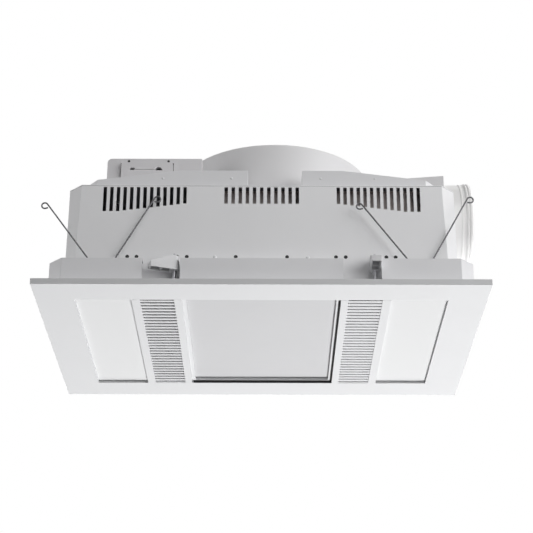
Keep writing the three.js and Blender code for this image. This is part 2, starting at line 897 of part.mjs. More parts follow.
// The centrifugal impeller: a back plate with hub and shaft, curved blades and a ring round the
// inlet side.
function impeller() {
  const inner = impellerRadius - bladeRing;
  const top = impellerTop;
  const shaftTop = motorBottom + bearingDepth - seatGap;
  const bore = inner - impellerSheet;
  const parts = [
    rodZ(0, 0, impellerRadius, top - impellerSheet, top, fineFacets),
    rodZ(0, 0, hubRadius, top - hubHeight, top + motorClear / 2),
    rodZ(0, 0, shaftRadius, top - hubHeight - shaftRadius, shaftTop),
    cut(
      rodZ(0, 0, impellerRadius, impellerBottom, impellerBottom + impellerSheet, fineFacets),
      rodZ(0, 0, bore, impellerBottom - overrun, impellerBottom + overrun, fineFacets),
    ),
  ];
  const stations = [0, 1 / 2, 1];
  for (let k = 0; k < impellerBlades; k++) {
    const start = (2 * Math.PI * k) / impellerBlades;
    const line = stations.map((t) => {
      const r = inner + (bladeRing - impellerSheet / 2) * t;
      const angle = start + ((bladeRing * t ** 2) / impellerRadius) * impellerCurveShare;
      return [r * Math.cos(angle), r * Math.sin(angle)];
    });
    const blade = ribbon(line, impellerSheet / 2);
    parts.push(prismZ(blade, impellerBottom + embed, top - embed));
  }
  return join(...parts).translate([fanOffset, 0, 0]);
}

function fanMotor() {
  const top = fanTop - fanWall - seatGap;
  const bearing = shaftRadius + seatGap;
  const profile = [
    [0, motorBottom + bearingDepth],
    [bearing, motorBottom + bearingDepth],
    [bearing, motorBottom],
    [hubRadius, motorBottom],
    [motorRadius - motorFoot, motorBottom + motorFoot],
    [motorRadius, motorBottom + 2 * motorFoot],
    [motorRadius, top - motorFoot],
    [motorRadius + motorFoot, top - sheet],
    [motorRadius + motorFoot, top],
    [0, top],
  ];
  return solid(turned(profile, roundFacets).translate(fanOffset, 0, 0));
}

// Electrical box on the roof: an open-bottomed sheet-metal cover, rounded at its upper left corner.
function terminalBox() {
  const top = onRoof + terminalHeight;
  const cover = (inset) => {
    const low = inset > 0 ? onRoof - overrun : onRoof;
    const round = terminalRound - inset;
    const left = terminalLeft + inset;
    const right = terminalRight - inset;
    const high = top - inset;
    const corner = [0, 1, 2, 3].map((k) => {
      const angle = Math.PI / 2 + (k * Math.PI) / 6;
      return [left + round + round * Math.cos(angle), high - round + round * Math.sin(angle)];
    });
    const outline = [[left, low], [right, low], [right, high], ...corner];
    return prismY(outline, -terminalFront + inset, -terminalRear - inset);
  };
  const front = [-terminalFront - overrun, -terminalFront + sheet + overrun];
  const [, holeX] = cableHolePlaces();
  const z = top - cableHoleDrop;
  return cut(
    cover(0),
    cover(sheet),
    clampSlot(z, front),
    rodY(holeX, z, cableHoleRadius, ...front),
  );
}

function clampPlateLeft() {
  return terminalLeft + clampPlateInset;
}

function cableHolePlaces() {
  return cableHoleShares.map((share) => clampPlateLeft() + share * clampPlateLength);
}

// The clamp's screw slot, above the level of the cable hole's flat edge.
function clampSlot(level, through) {
  const [x] = cableHolePlaces();
  const z = level + clampSlotRise;
  const [left, right] = [x - clampSlotReach, x + clampSlotReach];
  return join(
    rodY(left, z, clampSlotRadius, ...through),
    rodY(right, z, clampSlotRadius, ...through),
    box([left, right], through, [z - clampSlotRadius, z + clampSlotRadius]),
  );
}

// Cable clamp block in front of the box, with a screw slot and the half-round cable opening.
function cableClamp() {
  const left = clampPlateLeft();
  const right = left + clampPlateLength;
  const boxTop = onRoof + terminalHeight;
  const top = boxTop - clampPlateTopDrop;
  const rear = -terminalFront - seatGap;
  const outline = [
    [left, onRoof],
    [right, onRoof],
    [right, top - clampPlateCorner],
    [right - clampPlateCorner, top],
    [left + clampPlateCorner, top],
    [left, top - clampPlateCorner],
  ];
  const through = [rear - clampDepth - overrun, rear + overrun];
  const [, holeX] = cableHolePlaces();
  const z = boxTop - cableHoleDrop;
  const below = [z - cableHoleRadius - overrun, z];
  const halfHole = cut(
    rodY(holeX, z, cableHoleRadius, ...through),
    box([holeX - cableHoleRadius - overrun, holeX + cableHoleRadius + overrun], through, below),
  );
  return cut(
    prismY(outline, rear - clampDepth, rear),
    clampSlot(z, through),
    halfHole,
  );
}

function terminalStrip() {
  const left = (terminalLeft + terminalRight - stripLength) / 2;
  const middle = -terminalMiddle();
  const top = onRoof + stripHeight;
  const across = [middle - stripDepth / 2, middle + stripDepth / 2];
  const wells = [];
  for (let k = 0; k < stripWells; k++) {
    const x = left + (stripLength * (k + 1 / 2)) / stripWells;
    wells.push(rodZ(x, middle, wellRadius, top - wellDepth, top + overrun, holeFacets));
  }
  return cut(box([left, left + stripLength], across, [onRoof, top]), ...wells);
}

// Curved trough over a glass panel, open downwards, its end caps against the housing's walls.
function heatReflector(side) {
  const middle = (side * (sidePanelInner + openingX)) / 2;
  const half = sidePanelWidth / 2 - reflectorSide;
  const low = ceilingLine + reflectorRise;
  const curve = (inset) => {
    const points = [];
    for (let k = 0; k <= reflectorSteps; k++) {
      const angle = (Math.PI * k) / reflectorSteps;
      const across = (half - inset) * Math.cos(angle);
      const height = (reflectorHeight - inset) * Math.sqrt(Math.sin(angle));
      points.push([middle + across, low + height]);
    }
    return points;
  };
  const endY = innerWallY - seatGap;
  const outer = prismY(curve(0), -endY, endY);
  const floor = [
    [middle + half - reflectorSheet, low - overrun],
    ...curve(reflectorSheet),
    [middle - half + reflectorSheet, low - overrun],
  ];
  return cut(outer, prismY(floor, -endY + reflectorSheet, endY - reflectorSheet));
}

// Quartz heating tube with a ceramic cap at each end, held between the reflector's end caps.
function heatTube(side) {
  const middle = (side * (sidePanelInner + openingX)) / 2;
  const end = innerWallY - reflectorSheet - 2 * seatGap;
  const neck = end - tubeCapLength;
  const profile = [
    [0, -end],
    [tubeCapRadius, -end],
    [tubeCapRadius, -neck],
    [tubeRadius, -neck],
    [tubeRadius, neck],
    [tubeCapRadius, neck],
    [tubeCapRadius, end],
    [0, end],
  ];
  const tube = turned(profile, smallFacets).rotateX(-Math.PI / 2);
  return solid(tube.translate(middle, 0, ceilingLine + tubeHeight));
}

// Light driver screwed to the inside of the rear wall.
function lightDriver() {
  const low = ceilingLine + driverRise;
  const rear = innerWallY - seatGap;
  const front = rear - driverDepth;
  const outline = [
    [front + driverChamfer, low],
    [rear, low],
    [rear, low + driverHeight],
    [front + driverChamfer, low + driverHeight],
    [front, low + driverHeight - driverChamfer],
    [front, low + driverChamfer],
  ];
  return prismX(outline, -driverLength / 2, driverLength / 2);
}

function springPlaces() {
  return [-springX, springX];
}

function springReachY() {
  const turns = springTurns + (180 - springLeftLean - springRightLean) / 360;
  return (turns * springPitch + springWire) / 2;
}

// Wire paths of one V spring about its coil axis. The left leg runs from its eye down to the coil
// and round it; the right leg starts where the coil ends.
function springPaths() {
  const radians = THREE.MathUtils.degToRad;
  const startY = -(springReachY() - springWire / 2);
  const legPath = (lean, side, arm, y) => {
    const along = new THREE.Vector3(side * Math.sin(lean), 0, Math.cos(lean));
    const outward = new THREE.Vector3(side * Math.cos(lean), 0, -Math.sin(lean));
    const root = outward.clone().multiplyScalar(springCoilRadius).setY(y);
    const tip = root.clone().addScaledVector(along, arm);
    const middle = tip.clone().addScaledVector(outward, springEyeRadius);
    const eye = [];
    for (let k = 1; k <= springEyeSteps; k++) {
      const angle = radians((springEyeTurn * k) / springEyeSteps);
      eye.push(
        middle
          .clone()
          .addScaledVector(outward, -springEyeRadius * Math.cos(angle))
          .addScaledVector(along, springEyeRadius * Math.sin(angle)),
      );
    }
    const turn = radians(springEyeTurn);
    const tail = eye[springEyeSteps - 1]
      .clone()
      .addScaledVector(outward, springEyeTail * Math.sin(turn))
      .addScaledVector(along, springEyeTail * Math.cos(turn));
    return { root, along, path: [tip, ...eye, tail] };
  };
  const left = legPath(radians(springLeftLean), -1, springLeftArm, startY);
  const right = legPath(radians(springRightLean), 1, springRightArm, -startY);
  const first = radians(180 + springLeftLean);
  const last = radians(360 * (springTurns + 1) - springRightLean);
  const steps = Math.round(((last - first) / (2 * Math.PI)) * turnSteps);
  const coil = [];
  for (let k = 0; k <= steps; k++) {
    const share = k / steps;
    const angle = first + (last - first) * share;
    coil.push(
      new THREE.Vector3(
        springCoilRadius * Math.cos(angle),
        startY - 2 * startY * share,
        springCoilRadius * Math.sin(angle),
      ),
    );
  }
  const rightStart = right.root.clone().addScaledVector(right.along, seatGap);
  return { coilLeg: [...left.path.reverse(), ...coil], freeLeg: [rightStart, ...right.path] };
}

// The least clear distance between parts of one wire that aren't neighbours along it.
function leastSelfGap(path, diameter) {
  const samples = [];
  let run = 0;
  for (let i = 1; i < path.length; i++) {
    const length = path[i].distanceTo(path[i - 1]);
    const parts = Math.ceil((2 * length) / diameter);
    for (let k = 0; k < parts; k++) {
      const point = path[i - 1].clone().lerp(path[i], k / parts);
      samples.push({ at: run + (length * k) / parts, point });
    }
    run += length;
  }
  let least = Infinity;
  for (const one of samples) {
    for (const other of samples) {
      if (other.at - one.at > 2 * diameter) {
        least = Math.min(least, one.point.distanceTo(other.point));
      }
    }
  }
  return least - diameter;
}

// Sheet-metal bracket on the fascia whose pin carries the spring's coil.
function springBracket() {
  const rear = springReachY() + bracketClear;
  const low = fasciaSheet + seatGap - springAxisZ;
  const footTop = low + bracketSheet;
  const pinRadius = springCoilRadius - springWire / 2 - seatGap;
  const front = -rear - bracketHead;
  return join(
    box([-bracketFoot / 2, bracketFoot / 2], [-rear, rear + bracketSheet], [low, footTop]),
    box(
      [-bracketTab / 2, bracketTab / 2],
      [rear, rear + bracketSheet],
      [low, pinRadius + bracketAbovePin],
    ),
    rodY(0, 0, pinRadius, -rear, rear + embed),
    rodY(0, 0, bracketHeadRadius, front, -rear),
  );
}

function addSprings() {
  const { coilLeg, freeLeg } = springPaths();
  const gap = leastSelfGap(coilLeg, springWire);
  console.log(`least gap between the turns of a spring: ${gap.toFixed(2)} mm`);
  for (const [half, names] of [
    [frontHalf, ["front_left", "front_right"]],
    [rearHalf, ["rear_right", "rear_left"]],
  ]) {
    names.forEach((name, i) => {
      const place = new THREE.Group();
      place.position.set(springPlaces()[i], -channelY, springAxisZ);
      place.add(
        piece(`spring_bracket_${name}`, springBracket(), materials.steel),
        piece(`spring_coil_leg_${name}`, wire(coilLeg, springWire / 2, wireSides), materials.steel),
        piece(`spring_free_leg_${name}`, wire(freeLeg, springWire / 2, wireSides), materials.steel),
      );
      half.add(place);
    });
  }
}

function clampScrewPlaces() {
  const end = clampGapWidth / 2 - clampEdge;
  return [end - clampLeftCentre, end + clampRightCentre];
}

// Swing clamp: a wedge-shaped arm with a round boss, hollow underneath with one rib across, a nut
// inside the boss and a long screw.
// The arm is made pointing along +X from the screw's axis.
function clampArm() {
  const half = clampWidth / 2;
  const top = armBottom + clampRootHeight;
  const outline = [
    [0, armBottom],
    [clampReach, armBottom],
    [clampReach, armBottom + clampTipHeight],
    [half, top],
    [0, top],
  ];
  const nutRoom = nutRadius + seatGap;
  const nutBottom = top - nutTopDrop - nutHeight - seatGap;
  const slope = (clampRootHeight - clampTipHeight) / (clampReach - half);
  const roofAt = (x) => top - clampSkin - (x - half) * slope;
  const hollowEnd = clampReach - clampSkin;
  const ribMiddle = half + (hollowEnd - half) * clampRibShare;
  const hollow = (near, far) => {
    const room = [
      [near, armBottom - overrun],
      [far, armBottom - overrun],
      [far, roofAt(far)],
      [near, roofAt(near)],
    ];
    return prismY(room, -half + clampSkin, half - clampSkin);
  };
  return cut(
    join(prismY(outline, -half, half), rodZ(0, 0, half, armBottom, top)),
    rodZ(0, 0, screwRadius + seatGap, armBottom - overrun, top + overrun),
    rodZ(0, 0, nutRoom, nutBottom, top + overrun),
    hollow(half, ribMiddle - clampSkin / 2),
    hollow(ribMiddle + clampSkin / 2, hollowEnd),
  );
}

function clampNut() {
  const nutTop = armBottom + clampRootHeight - nutTopDrop;
  return cut(
    rodZ(0, 0, nutRadius, nutTop - nutHeight, nutTop),
    rodZ(0, 0, screwRadius + seatGap, nutTop - nutHeight - overrun, nutTop + overrun),
  );
}

function clampScrew() {
  const headTop = flangeBottom - seatGap;
  const headBottom = fasciaSheet + screwHeadClear;
  const profile = [
    [0, headBottom],
    [screwHeadRadius - seatGap, headBottom],
    [screwHeadRadius, headBottom + seatGap],
    [screwHeadRadius, headTop],
    [screwRadius, headTop],
    [screwRadius, armBottom + clampRootHeight + screwTip - screwRadius / 2],
    [screwRadius / 2, armBottom + clampRootHeight + screwTip],
    [0, armBottom + clampRootHeight + screwTip],
  ];
  return solid(turned(profile, smallFacets));
}

function addClamps() {
  const swings = [leftArmSwing, rightArmSwing];
  for (const [half, names] of [
    [frontHalf, ["front_left", "front_right"]],
    [rearHalf, ["rear_right", "rear_left"]],
  ]) {
    names.forEach((name, i) => {
      const place = new THREE.Group();
      place.position.set(clampScrewPlaces()[i], -channelY, 0);
      const arm = piece(`clamp_arm_${name}`, clampArm(), materials.moulded);
      arm.rotation.z = Math.PI + THREE.MathUtils.degToRad(swings[i]);
      place.add(
        arm,
        piece(`clamp_nut_${name}`, clampNut(), materials.brass),
        piece(`clamp_screw_${name}`, clampScrew(), materials.steel),
      );
      half.add(place);
    });
  }
}

function addHousing() {
  frontHalf.add(
    piece("mount_rail_front", mountRail(), materials.coated),
    piece("housing_front", housingWall(), materials.coated),
  );
  rearHalf.add(
    piece("mount_rail_rear", mountRail(), materials.coated),
    piece("housing_rear", housingWall(), materials.coated),
  );
  for (const [name, side] of [
    ["left", -1],
    ["right", 1],
  ]) {
    unit.add(
      piece(`mount_rail_${name}`, sideRail(side), materials.coated),
      piece(`housing_end_${name}`, housingEnd(side), materials.coated),
      piece(`roof_hood_${name}`, roofHood(side), materials.coated),
      piece(`heat_reflector_${name}`, heatReflector(side), materials.reflector),
      piece(`heat_tube_${name}`, heatTube(side), materials.quartz),
      piece(`louvre_frame_${name}`, louvreFrame(side), materials.fascia),
    );
  }
  unit.add(
    piece("housing_roof", housingRoof(), materials.coated),
    piece("terminal_box", terminalBox(), materials.dull),
    piece("cable_clamp", cableClamp(), materials.dull),
    piece("terminal_strip", terminalStrip(), materials.strip),
    piece("light_driver", lightDriver(), materials.strip),
  );
}

function addFan() {
  const { cover, pan } = fanHousing();
  unit.add(
    piece("fan_housing", cover, materials.moulded),
    piece("fan_pan", pan, materials.moulded),
    piece("duct_spigot", ductSpigot(), materials.duct),
    piece("backdraft_flap", backdraftFlap(), materials.duct),
    piece("fan_impeller", impeller(), materials.moulded),
    piece("fan_motor", fanMotor(), materials.motor),
  );
}

addFascia();
addGlass();
addLight();
addHousing();
addFan();
addSprings();
addClamps();

export default unit;
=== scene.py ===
# Bathroom ceiling heater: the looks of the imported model, seen from below in front of it.
# The frame is in metres, with +Z up into the ceiling and -Y to the front, and its origin is the
# middle of the fascia's underside. Pieces are made in millimetres and scaled when they are placed.
import math

import bmesh
import bpy
from mathutils import Matrix, Vector


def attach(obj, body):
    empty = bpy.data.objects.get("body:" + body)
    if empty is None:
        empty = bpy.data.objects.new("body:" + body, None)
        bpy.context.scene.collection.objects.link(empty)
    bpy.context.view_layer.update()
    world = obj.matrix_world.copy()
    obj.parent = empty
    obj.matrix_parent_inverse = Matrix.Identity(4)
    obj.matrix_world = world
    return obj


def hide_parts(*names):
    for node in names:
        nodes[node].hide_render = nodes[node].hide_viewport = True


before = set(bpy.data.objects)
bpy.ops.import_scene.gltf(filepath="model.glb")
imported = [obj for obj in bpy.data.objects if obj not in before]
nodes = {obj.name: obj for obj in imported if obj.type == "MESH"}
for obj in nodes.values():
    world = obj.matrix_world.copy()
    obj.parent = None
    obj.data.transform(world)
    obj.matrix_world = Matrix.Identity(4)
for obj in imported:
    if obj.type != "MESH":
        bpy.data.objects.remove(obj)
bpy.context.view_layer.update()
MM = 0.001
TO_METRES = Matrix.Scale(MM, 4)
HALF_TURN = Matrix.Rotation(math.pi, 4, "Z")

# Camera, fitted to the photo's corners of the fascia, the housing and the spigot
IMAGE_SIZE = 533
SENSOR = 36.0
FOCAL_PIXELS = 1498.0
CAMERA_PLACE = Vector((0.0077, -1.9225, -0.7565))
CAMERA_PITCH = 24.459
CAMERA_YAW = -0.036
CAMERA_ROLL = 0.158
CLIP_NEAR, CLIP_FAR = 0.05, 50

# Studio: each lamp is (place, what it faces, size, power)
LAMPS = {
    "right": ((2.6, -0.6, 0.5), (0.0, 0.0, 0.1), 1.8, 18.2),
    "front_right": ((1.9, -1.9, 0.6), (0.0, 0.0, 0.1), 2.2, 44.5),
    "front_high": ((0.2, -1.9, 2.2), (0.0, 0.0, 0.1), 1.6, 10.3),
    "left": ((-2.6, -0.3, 0.4), (0.0, 0.0, 0.1), 1.2, 22.0),
    "below": ((1.4, 1.5, -3.05), (0.0, 0.0, 0.0), 1.4, 170.0),
    "rear": ((-1.4, 2.8, 1.2), (0.0, 0.0, 0.1), 1.4, 18.0),
    "top": ((0.6, 0.6, 2.3), (0.0, 0.0, 0.15), 1.6, 5.0),
}
WHITE = (1, 1, 1, 1)
WORLD_LIGHT = 0.005
FLOOR_DROP = 4.0
FLOOR_HALF = 20.0
FLOOR_COLOUR, FLOOR_ROUGHNESS = (0.9, 0.9, 0.9), 0.7
FLOOR_GLOW = 0.62  # how pale the floor looks to the camera and in reflections

# Places taken from the model, in millimetres
CHANNEL_Y = 178.5
SPRING_X = {"front_left": -204.5, "front_right": 204.5}
SPRING_Z = 28.7
CLAMP_X = {"front_left": -111.35, "front_right": 145.25}
REAR_OF = {"front_left": "rear_right", "front_right": "rear_left"}
HOUSING_X, HOUSING_Y = 254.5, 169.5
ROOF_TOP = 158.6


def placed(name, data):
    thing = bpy.data.objects.new(name, data)
    bpy.context.scene.collection.objects.link(thing)
    return thing


def add_camera():
    data = bpy.data.cameras.new("camera")
    data.sensor_width = SENSOR
    data.lens = FOCAL_PIXELS * SENSOR / IMAGE_SIZE
    data.clip_start, data.clip_end = CLIP_NEAR, CLIP_FAR
    camera = placed("camera", data)
    turn = Matrix.Rotation(-math.radians(CAMERA_YAW), 4, "Z")
    tilt = Matrix.Rotation(math.radians(90 + CAMERA_PITCH), 4, "X")
    roll = Matrix.Rotation(math.radians(CAMERA_ROLL), 4, "Z")
    camera.matrix_world = Matrix.Translation(CAMERA_PLACE) @ turn @ tilt @ roll
    bpy.context.scene.camera = camera


def add_lamps():
    for name, (place, target, size, power) in LAMPS.items():
        data = bpy.data.lights.new(name, "AREA")
        data.shape = "SQUARE"
        data.size = size
        data.energy = power
        lamp = placed(name, data)
        lamp.location = place
        aim = Vector(target) - Vector(place)
        lamp.rotation_euler = aim.to_track_quat("-Z", "Y").to_euler()
        lamp.visible_camera = False


def seen_ray(tree):
    """1 for rays that the camera, a reflection or glass sees, and 0 for light on the object."""
    path = tree.nodes.new("ShaderNodeLightPath")
    seen = path.outputs["Is Camera Ray"]
    for ray in ("Is Glossy Ray", "Is Transmission Ray"):
        either = tree.nodes.new("ShaderNodeMath")
        either.operation = "MAXIMUM"
        tree.links.new(seen, either.inputs[0])
        tree.links.new(path.outputs[ray], either.inputs[1])
        seen = either.outputs[0]
    return seen


def add_world():
    """A white surround for the camera, reflections and glass, and a weak light on the object."""
    world = bpy.data.worlds.new("studio")
    world.use_nodes = True
    bpy.context.scene.world = world
    tree = world.node_tree
    tree.nodes.clear()
    out = tree.nodes.new("ShaderNodeOutputWorld")
    mix = tree.nodes.new("ShaderNodeMixShader")
    for socket, strength in ((1, WORLD_LIGHT), (2, 1.0)):
        around = tree.nodes.new("ShaderNodeBackground")
        around.inputs["Color"].default_value = WHITE
        around.inputs["Strength"].default_value = strength
        tree.links.new(around.outputs[0], mix.inputs[socket])
    tree.links.new(seen_ray(tree), mix.inputs["Fac"])
    tree.links.new(mix.outputs[0], out.inputs["Surface"])


def add_floor():
    mesh = bpy.data.meshes.new("floor")
    half = FLOOR_HALF
    corners = [(-half, -half, 0), (half, -half, 0), (half, half, 0), (-half, half, 0)]
    mesh.from_pydata(corners, [], [(0, 1, 2, 3)])
    floor = placed("floor", mesh)
    floor.location = (0, 0, -FLOOR_DROP)
    material = surface("floor", FLOOR_COLOUR, FLOOR_ROUGHNESS, tint=0.01)
    tree = material.node_tree
    glow = tree.nodes.new("ShaderNodeMath")
    glow.operation = "MULTIPLY"
    glow.inputs[1].default_value = FLOOR_GLOW
    tree.links.new(seen_ray(tree), glow.inputs[0])
    shader = tree.nodes["Principled BSDF"]
    shader.inputs["Emission Color"].default_value = WHITE
    tree.links.new(glow.outputs[0], shader.inputs["Emission Strength"])
    mesh.materials.append(material)


# ---- Materials ----

MIDDLE = (0, 0, 0.08)  # a point inside the housing, in metres
INWARD_BAND = 0.001
GRAIN_HEIGHT = 0.0002
ROUGH_PATCHES = 5  # the roughness drifts over patches this many times smaller than the colour's

POWDER = {"bump": 0.25, "grain": 0.0014, "tint": 0.012, "patch": 0.12}
GALVANISED = ((0.2, 0.2, 0.21), 0.45)

# Each finish is (colour, roughness, what differs from a plain dielectric)
FINISHES = {
    "fascia_white": ((0.648, 0.651, 0.661), 0.42, {"tint": 0.008, "bump": 0.08}),
    "white_glass": ((0.71, 0.714, 0.719), 0.09, {"tint": 0.004, "swing": 0.02, "patch": 0.2}),
    "diffuser": ((0.523, 0.523, 0.533), 0.55, {"tint": 0.008, "bump": 0.3, "grain": 0.0025}),
    "tray_aluminium": ((0.7, 0.7, 0.72), 0.35, {"metallic": 0.9, "stretch": (1, 30, 30)}),
    "coated_steel": ((0.785, 0.785, 0.80), 0.48, POWDER),
    "housing_steel": ((0.865, 0.865, 0.877), 0.48, {"inside": GALVANISED, **POWDER}),
    "grey_steel": ((0.705, 0.695, 0.71), 0.5, {"bump": 0.3, "tint": 0.015}),
    "inner_plastic": ((0.78, 0.77, 0.73), 0.5, {"bump": 0.2}),
    "fan_plastic": ((0.78, 0.775, 0.785), 0.5, {"tint": 0.012, "bump": 0.2}),
    "duct_plastic": ((0.835, 0.83, 0.825), 0.45, {"tint": 0.015, "bump": 0.15}),
    "impeller_plastic": ((0.62, 0.62, 0.64), 0.45, {}),
    "motor_body": ((0.24, 0.24, 0.25), 0.5, {"metallic": 0.6, "bump": 0.4, "grain": 0.002}),
    "reflector_aluminium": (
        (0.85, 0.86, 0.87), 0.18, {"metallic": 1.0, "stretch": (40, 1, 40)},
    ),
    "heat_tube": ((0.85, 0.83, 0.78), 0.25, {"tint": 0.04, "patch": 0.02}),
    "clamp_plastic": ((0.7, 0.7, 0.71), 0.42, {"tint": 0.015, "bump": 0.15}),
    "nut_brass": ((0.62, 0.45, 0.2), 0.3, {"metallic": 1.0, "tint": 0.08, "patch": 0.004}),
    "screw_steel": ((0.5, 0.5, 0.52), 0.32, {"metallic": 1.0, "tint": 0.08, "patch": 0.004}),
    # painted shade: a mid-dark sheet colour that stands in for the dim inside seen through the
    # slots
    "painted_shade_sheet": ((0.56, 0.5, 0.49), 0.9, {"tint": 0.1, "patch": 0.01, "bump": 0.6}),
    # painted shade: a near-black that stands in for shadow in the light's recess, the louvre gaps,
    # the foot holes and beside the cable clamp
    "painted_shade_black": ((0.036, 0.035, 0.036), 0.9, {"tint": 0.2, "patch": 0.01, "bump": 0.5}),
    "spring_wire": (
        (0.085, 0.085, 0.09), 0.38, {"metallic": 0.85, "tint": 0.15, "patch": 0.01},
    ),
    "bracket_steel": ((0.55, 0.56, 0.58), 0.38, {"metallic": 0.95, "tint": 0.06, "patch": 0.01}),
}


def surface(
    name, colour, roughness, metallic=0.0, tint=0.02, patch=0.09, swing=0.04,
    bump=0.0, grain=0.0012, stretch=(1, 1, 1), inside=None,
):
    """A finish whose colour and roughness drift in soft patches, over a fine raised grain.

    tint and swing say how far the colour and the roughness drift, and patch and grain are sizes
    in metres. inside gives (colour, roughness) for faces that look towards the housing's middle."""
    material = bpy.data.materials.new(name)
    material.use_nodes = True
    tree = material.node_tree
    shader = tree.nodes["Principled BSDF"]
    shader.inputs["Metallic"].default_value = metallic
    place = tree.nodes.new("ShaderNodeTexCoord")
    mapping = tree.nodes.new("ShaderNodeMapping")
    mapping.inputs["Scale"].default_value = stretch
    tree.links.new(place.outputs["Object"], mapping.inputs["Vector"])

    def noise(size, detail=3.0):
        node = tree.nodes.new("ShaderNodeTexNoise")
        node.inputs["Scale"].default_value = 1.0 / size
        node.inputs["Detail"].default_value = detail
        tree.links.new(mapping.outputs["Vector"], node.inputs["Vector"])
        return node.outputs["Fac"]

    def spread(value, low, high, start=0.3, end=0.7):
        node = tree.nodes.new("ShaderNodeMapRange")
        node.inputs["From Min"].default_value = start
        node.inputs["From Max"].default_value = end
        node.inputs["To Min"].default_value = low
        node.inputs["To Max"].default_value = high
        tree.links.new(value, node.inputs["Value"])
        return node.outputs["Result"]

    def blend(factor, first, second):
        node = tree.nodes.new("ShaderNodeMix")
        node.data_type = "RGBA"
        tree.links.new(factor, node.inputs["Factor"])
        for socket, value in ((node.inputs["A"], first), (node.inputs["B"], second)):
            if isinstance(value, tuple):
                socket.default_value = (*value, 1)
            else:
                tree.links.new(value, socket)
        return node.outputs["Result"]

    dark = tuple(c * (1 - tint) for c in colour)
    light = tuple(min(c * (1 + tint), 1) for c in colour)
    tone = blend(spread(noise(patch), 0, 1), dark, light)
    rough = spread(noise(patch / ROUGH_PATCHES), roughness - swing, roughness + swing)
    if inside:
        from_middle = tree.nodes.new("ShaderNodeVectorMath")
        from_middle.operation = "SUBTRACT"
        from_middle.inputs[1].default_value = MIDDLE
        tree.links.new(place.outputs["Object"], from_middle.inputs[0])
        facing = tree.nodes.new("ShaderNodeVectorMath")
        facing.operation = "DOT_PRODUCT"
        tree.links.new(place.outputs["Normal"], facing.inputs[0])
        tree.links.new(from_middle.outputs[0], facing.inputs[1])
        inward = spread(facing.outputs["Value"], 1, 0, -INWARD_BAND, INWARD_BAND)
        tone = blend(inward, tone, inside[0])
        level = tree.nodes.new("ShaderNodeMix")
        tree.links.new(inward, level.inputs["Factor"])
        tree.links.new(rough, level.inputs["A"])
        level.inputs["B"].default_value = inside[1]
        rough = level.outputs["Result"]
    tree.links.new(tone, shader.inputs["Base Color"])
    tree.links.new(rough, shader.inputs["Roughness"])
    if bump:
        raised = tree.nodes.new("ShaderNodeBump")
        raised.inputs["Strength"].default_value = bump
        raised.inputs["Distance"].default_value = GRAIN_HEIGHT
        tree.links.new(noise(grain, 2.0), raised.inputs["Height"])
        tree.links.new(raised.outputs["Normal"], shader.inputs["Normal"])
    return material


def make_finishes():
    return {
        name: surface(name, colour, roughness, **more)
        for name, (colour, roughness, more) in FINISHES.items()
    }


# ---- Making pieces ----

SMOOTH_MADE = 35  # made faces are shaded smooth up to this bend, in degrees
SMOOTH_NODES = 32
BEND_ANGLE = 30  # edges that bend more than this are rounded
FLAT_ANGLE = 0.3  # faces that bend less than this are joined


def shown(name, made, body, slot, *stands_for, matrix=TO_METRES, smooth=SMOOTH_MADE, finish=None):
    """Adds a made form as a piece on a body, with the finish of its slot or one of its own."""
    bmesh.ops.recalc_face_normals(made, faces=made.faces)
    mesh = bpy.data.meshes.new(name)
    made.to_mesh(mesh)
    made.free()
    mesh.validate()
    if smooth:
        mesh.shade_smooth()
        mesh.set_sharp_from_angle(angle=math.radians(smooth))
    piece = placed(name, mesh)
    mesh.transform(matrix)
    mesh.materials.append(finishes[finish or slot])
    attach(piece, body)
    if stands_for:
        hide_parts(*stands_for)
    return piece


def join_flat_faces(piece):
    flat = piece.modifiers.new("flat", "DECIMATE")
    flat.decimate_type = "DISSOLVE"
    flat.angle_limit = math.radians(FLAT_ANGLE)


def round_edges(piece, width, clamp):
    """Rounds the sharp edges by a width in millimetres."""
    bevel = piece.modifiers.new("edges", "BEVEL")
    bevel.width = width * MM
    bevel.segments = 2
    bevel.limit_method = "ANGLE"
    bevel.angle_limit = math.radians(BEND_ANGLE)
    bevel.use_clamp_overlap = clamp


def strips(made, rings):
    """Quads between closed rings of like vertices."""
    count = len(rings[0])
    for near, far in zip(rings, rings[1:]):
        for i in range(count):
            j = (i + 1) % count
            made.faces.new((near[i], near[j], far[j], far[i]))


def tube(made, rings):
    """Strips between rings, with a face at either end."""
    strips(made, rings)
    made.faces.new(rings[-1])
    made.faces.new(list(reversed(rings[0])))


def lathe(made, profile, count, matrix):
    """A shape turned about Z from [radius, height] points."""
    rings = []
    for radius, height in profile:
        ring = []
        for k in range(count):
            angle = 2 * math.pi * k / count
            at = Vector((radius * math.cos(angle), radius * math.sin(angle), height))
            ring.append(made.verts.new(matrix @ at))
        rings.append(ring)
    strips(made, rings)


WIRE_SIDES = 14
WIRE_END = [(0.0, 1.0), (0.12, 0.88), (0.35, 0.55)]  # shift along and radius, in wire radii


def wire(made, points, radius):
    """Round wire along a line of points, its ends closed by small domes."""
    across = Vector((0, 1, 0))
    rings = []
    for i, point in enumerate(points):
        before, after = points[max(i - 1, 0)], points[min(i + 1, len(points) - 1)]
        along = (after - before).normalized()
        across = (across - along * across.dot(along)).normalized()
        up = along.cross(across)
        dome = WIRE_END[:1]
        if i == 0:
            dome = [(-shift, share) for shift, share in reversed(WIRE_END)]
        if i == len(points) - 1:
            dome = WIRE_END
        for shift, share in dome:
            ring = []
            for k in range(WIRE_SIDES):
                angle = 2 * math.pi * k / WIRE_SIDES
                out = across * math.cos(angle) + up * math.sin(angle)
                ring.append(
                    made.verts.new(point + along * shift * radius + out * radius * share)
                )
            rings.append(ring)
    tube(made, rings)


def towards(place, normal):
    """The matrix that stands a shape made along +Z on a place, along a normal."""
    turn = Vector(normal).to_track_quat("Z", "Y").to_matrix().to_4x4()
    return Matrix.Translation(Vector(place)) @ turn


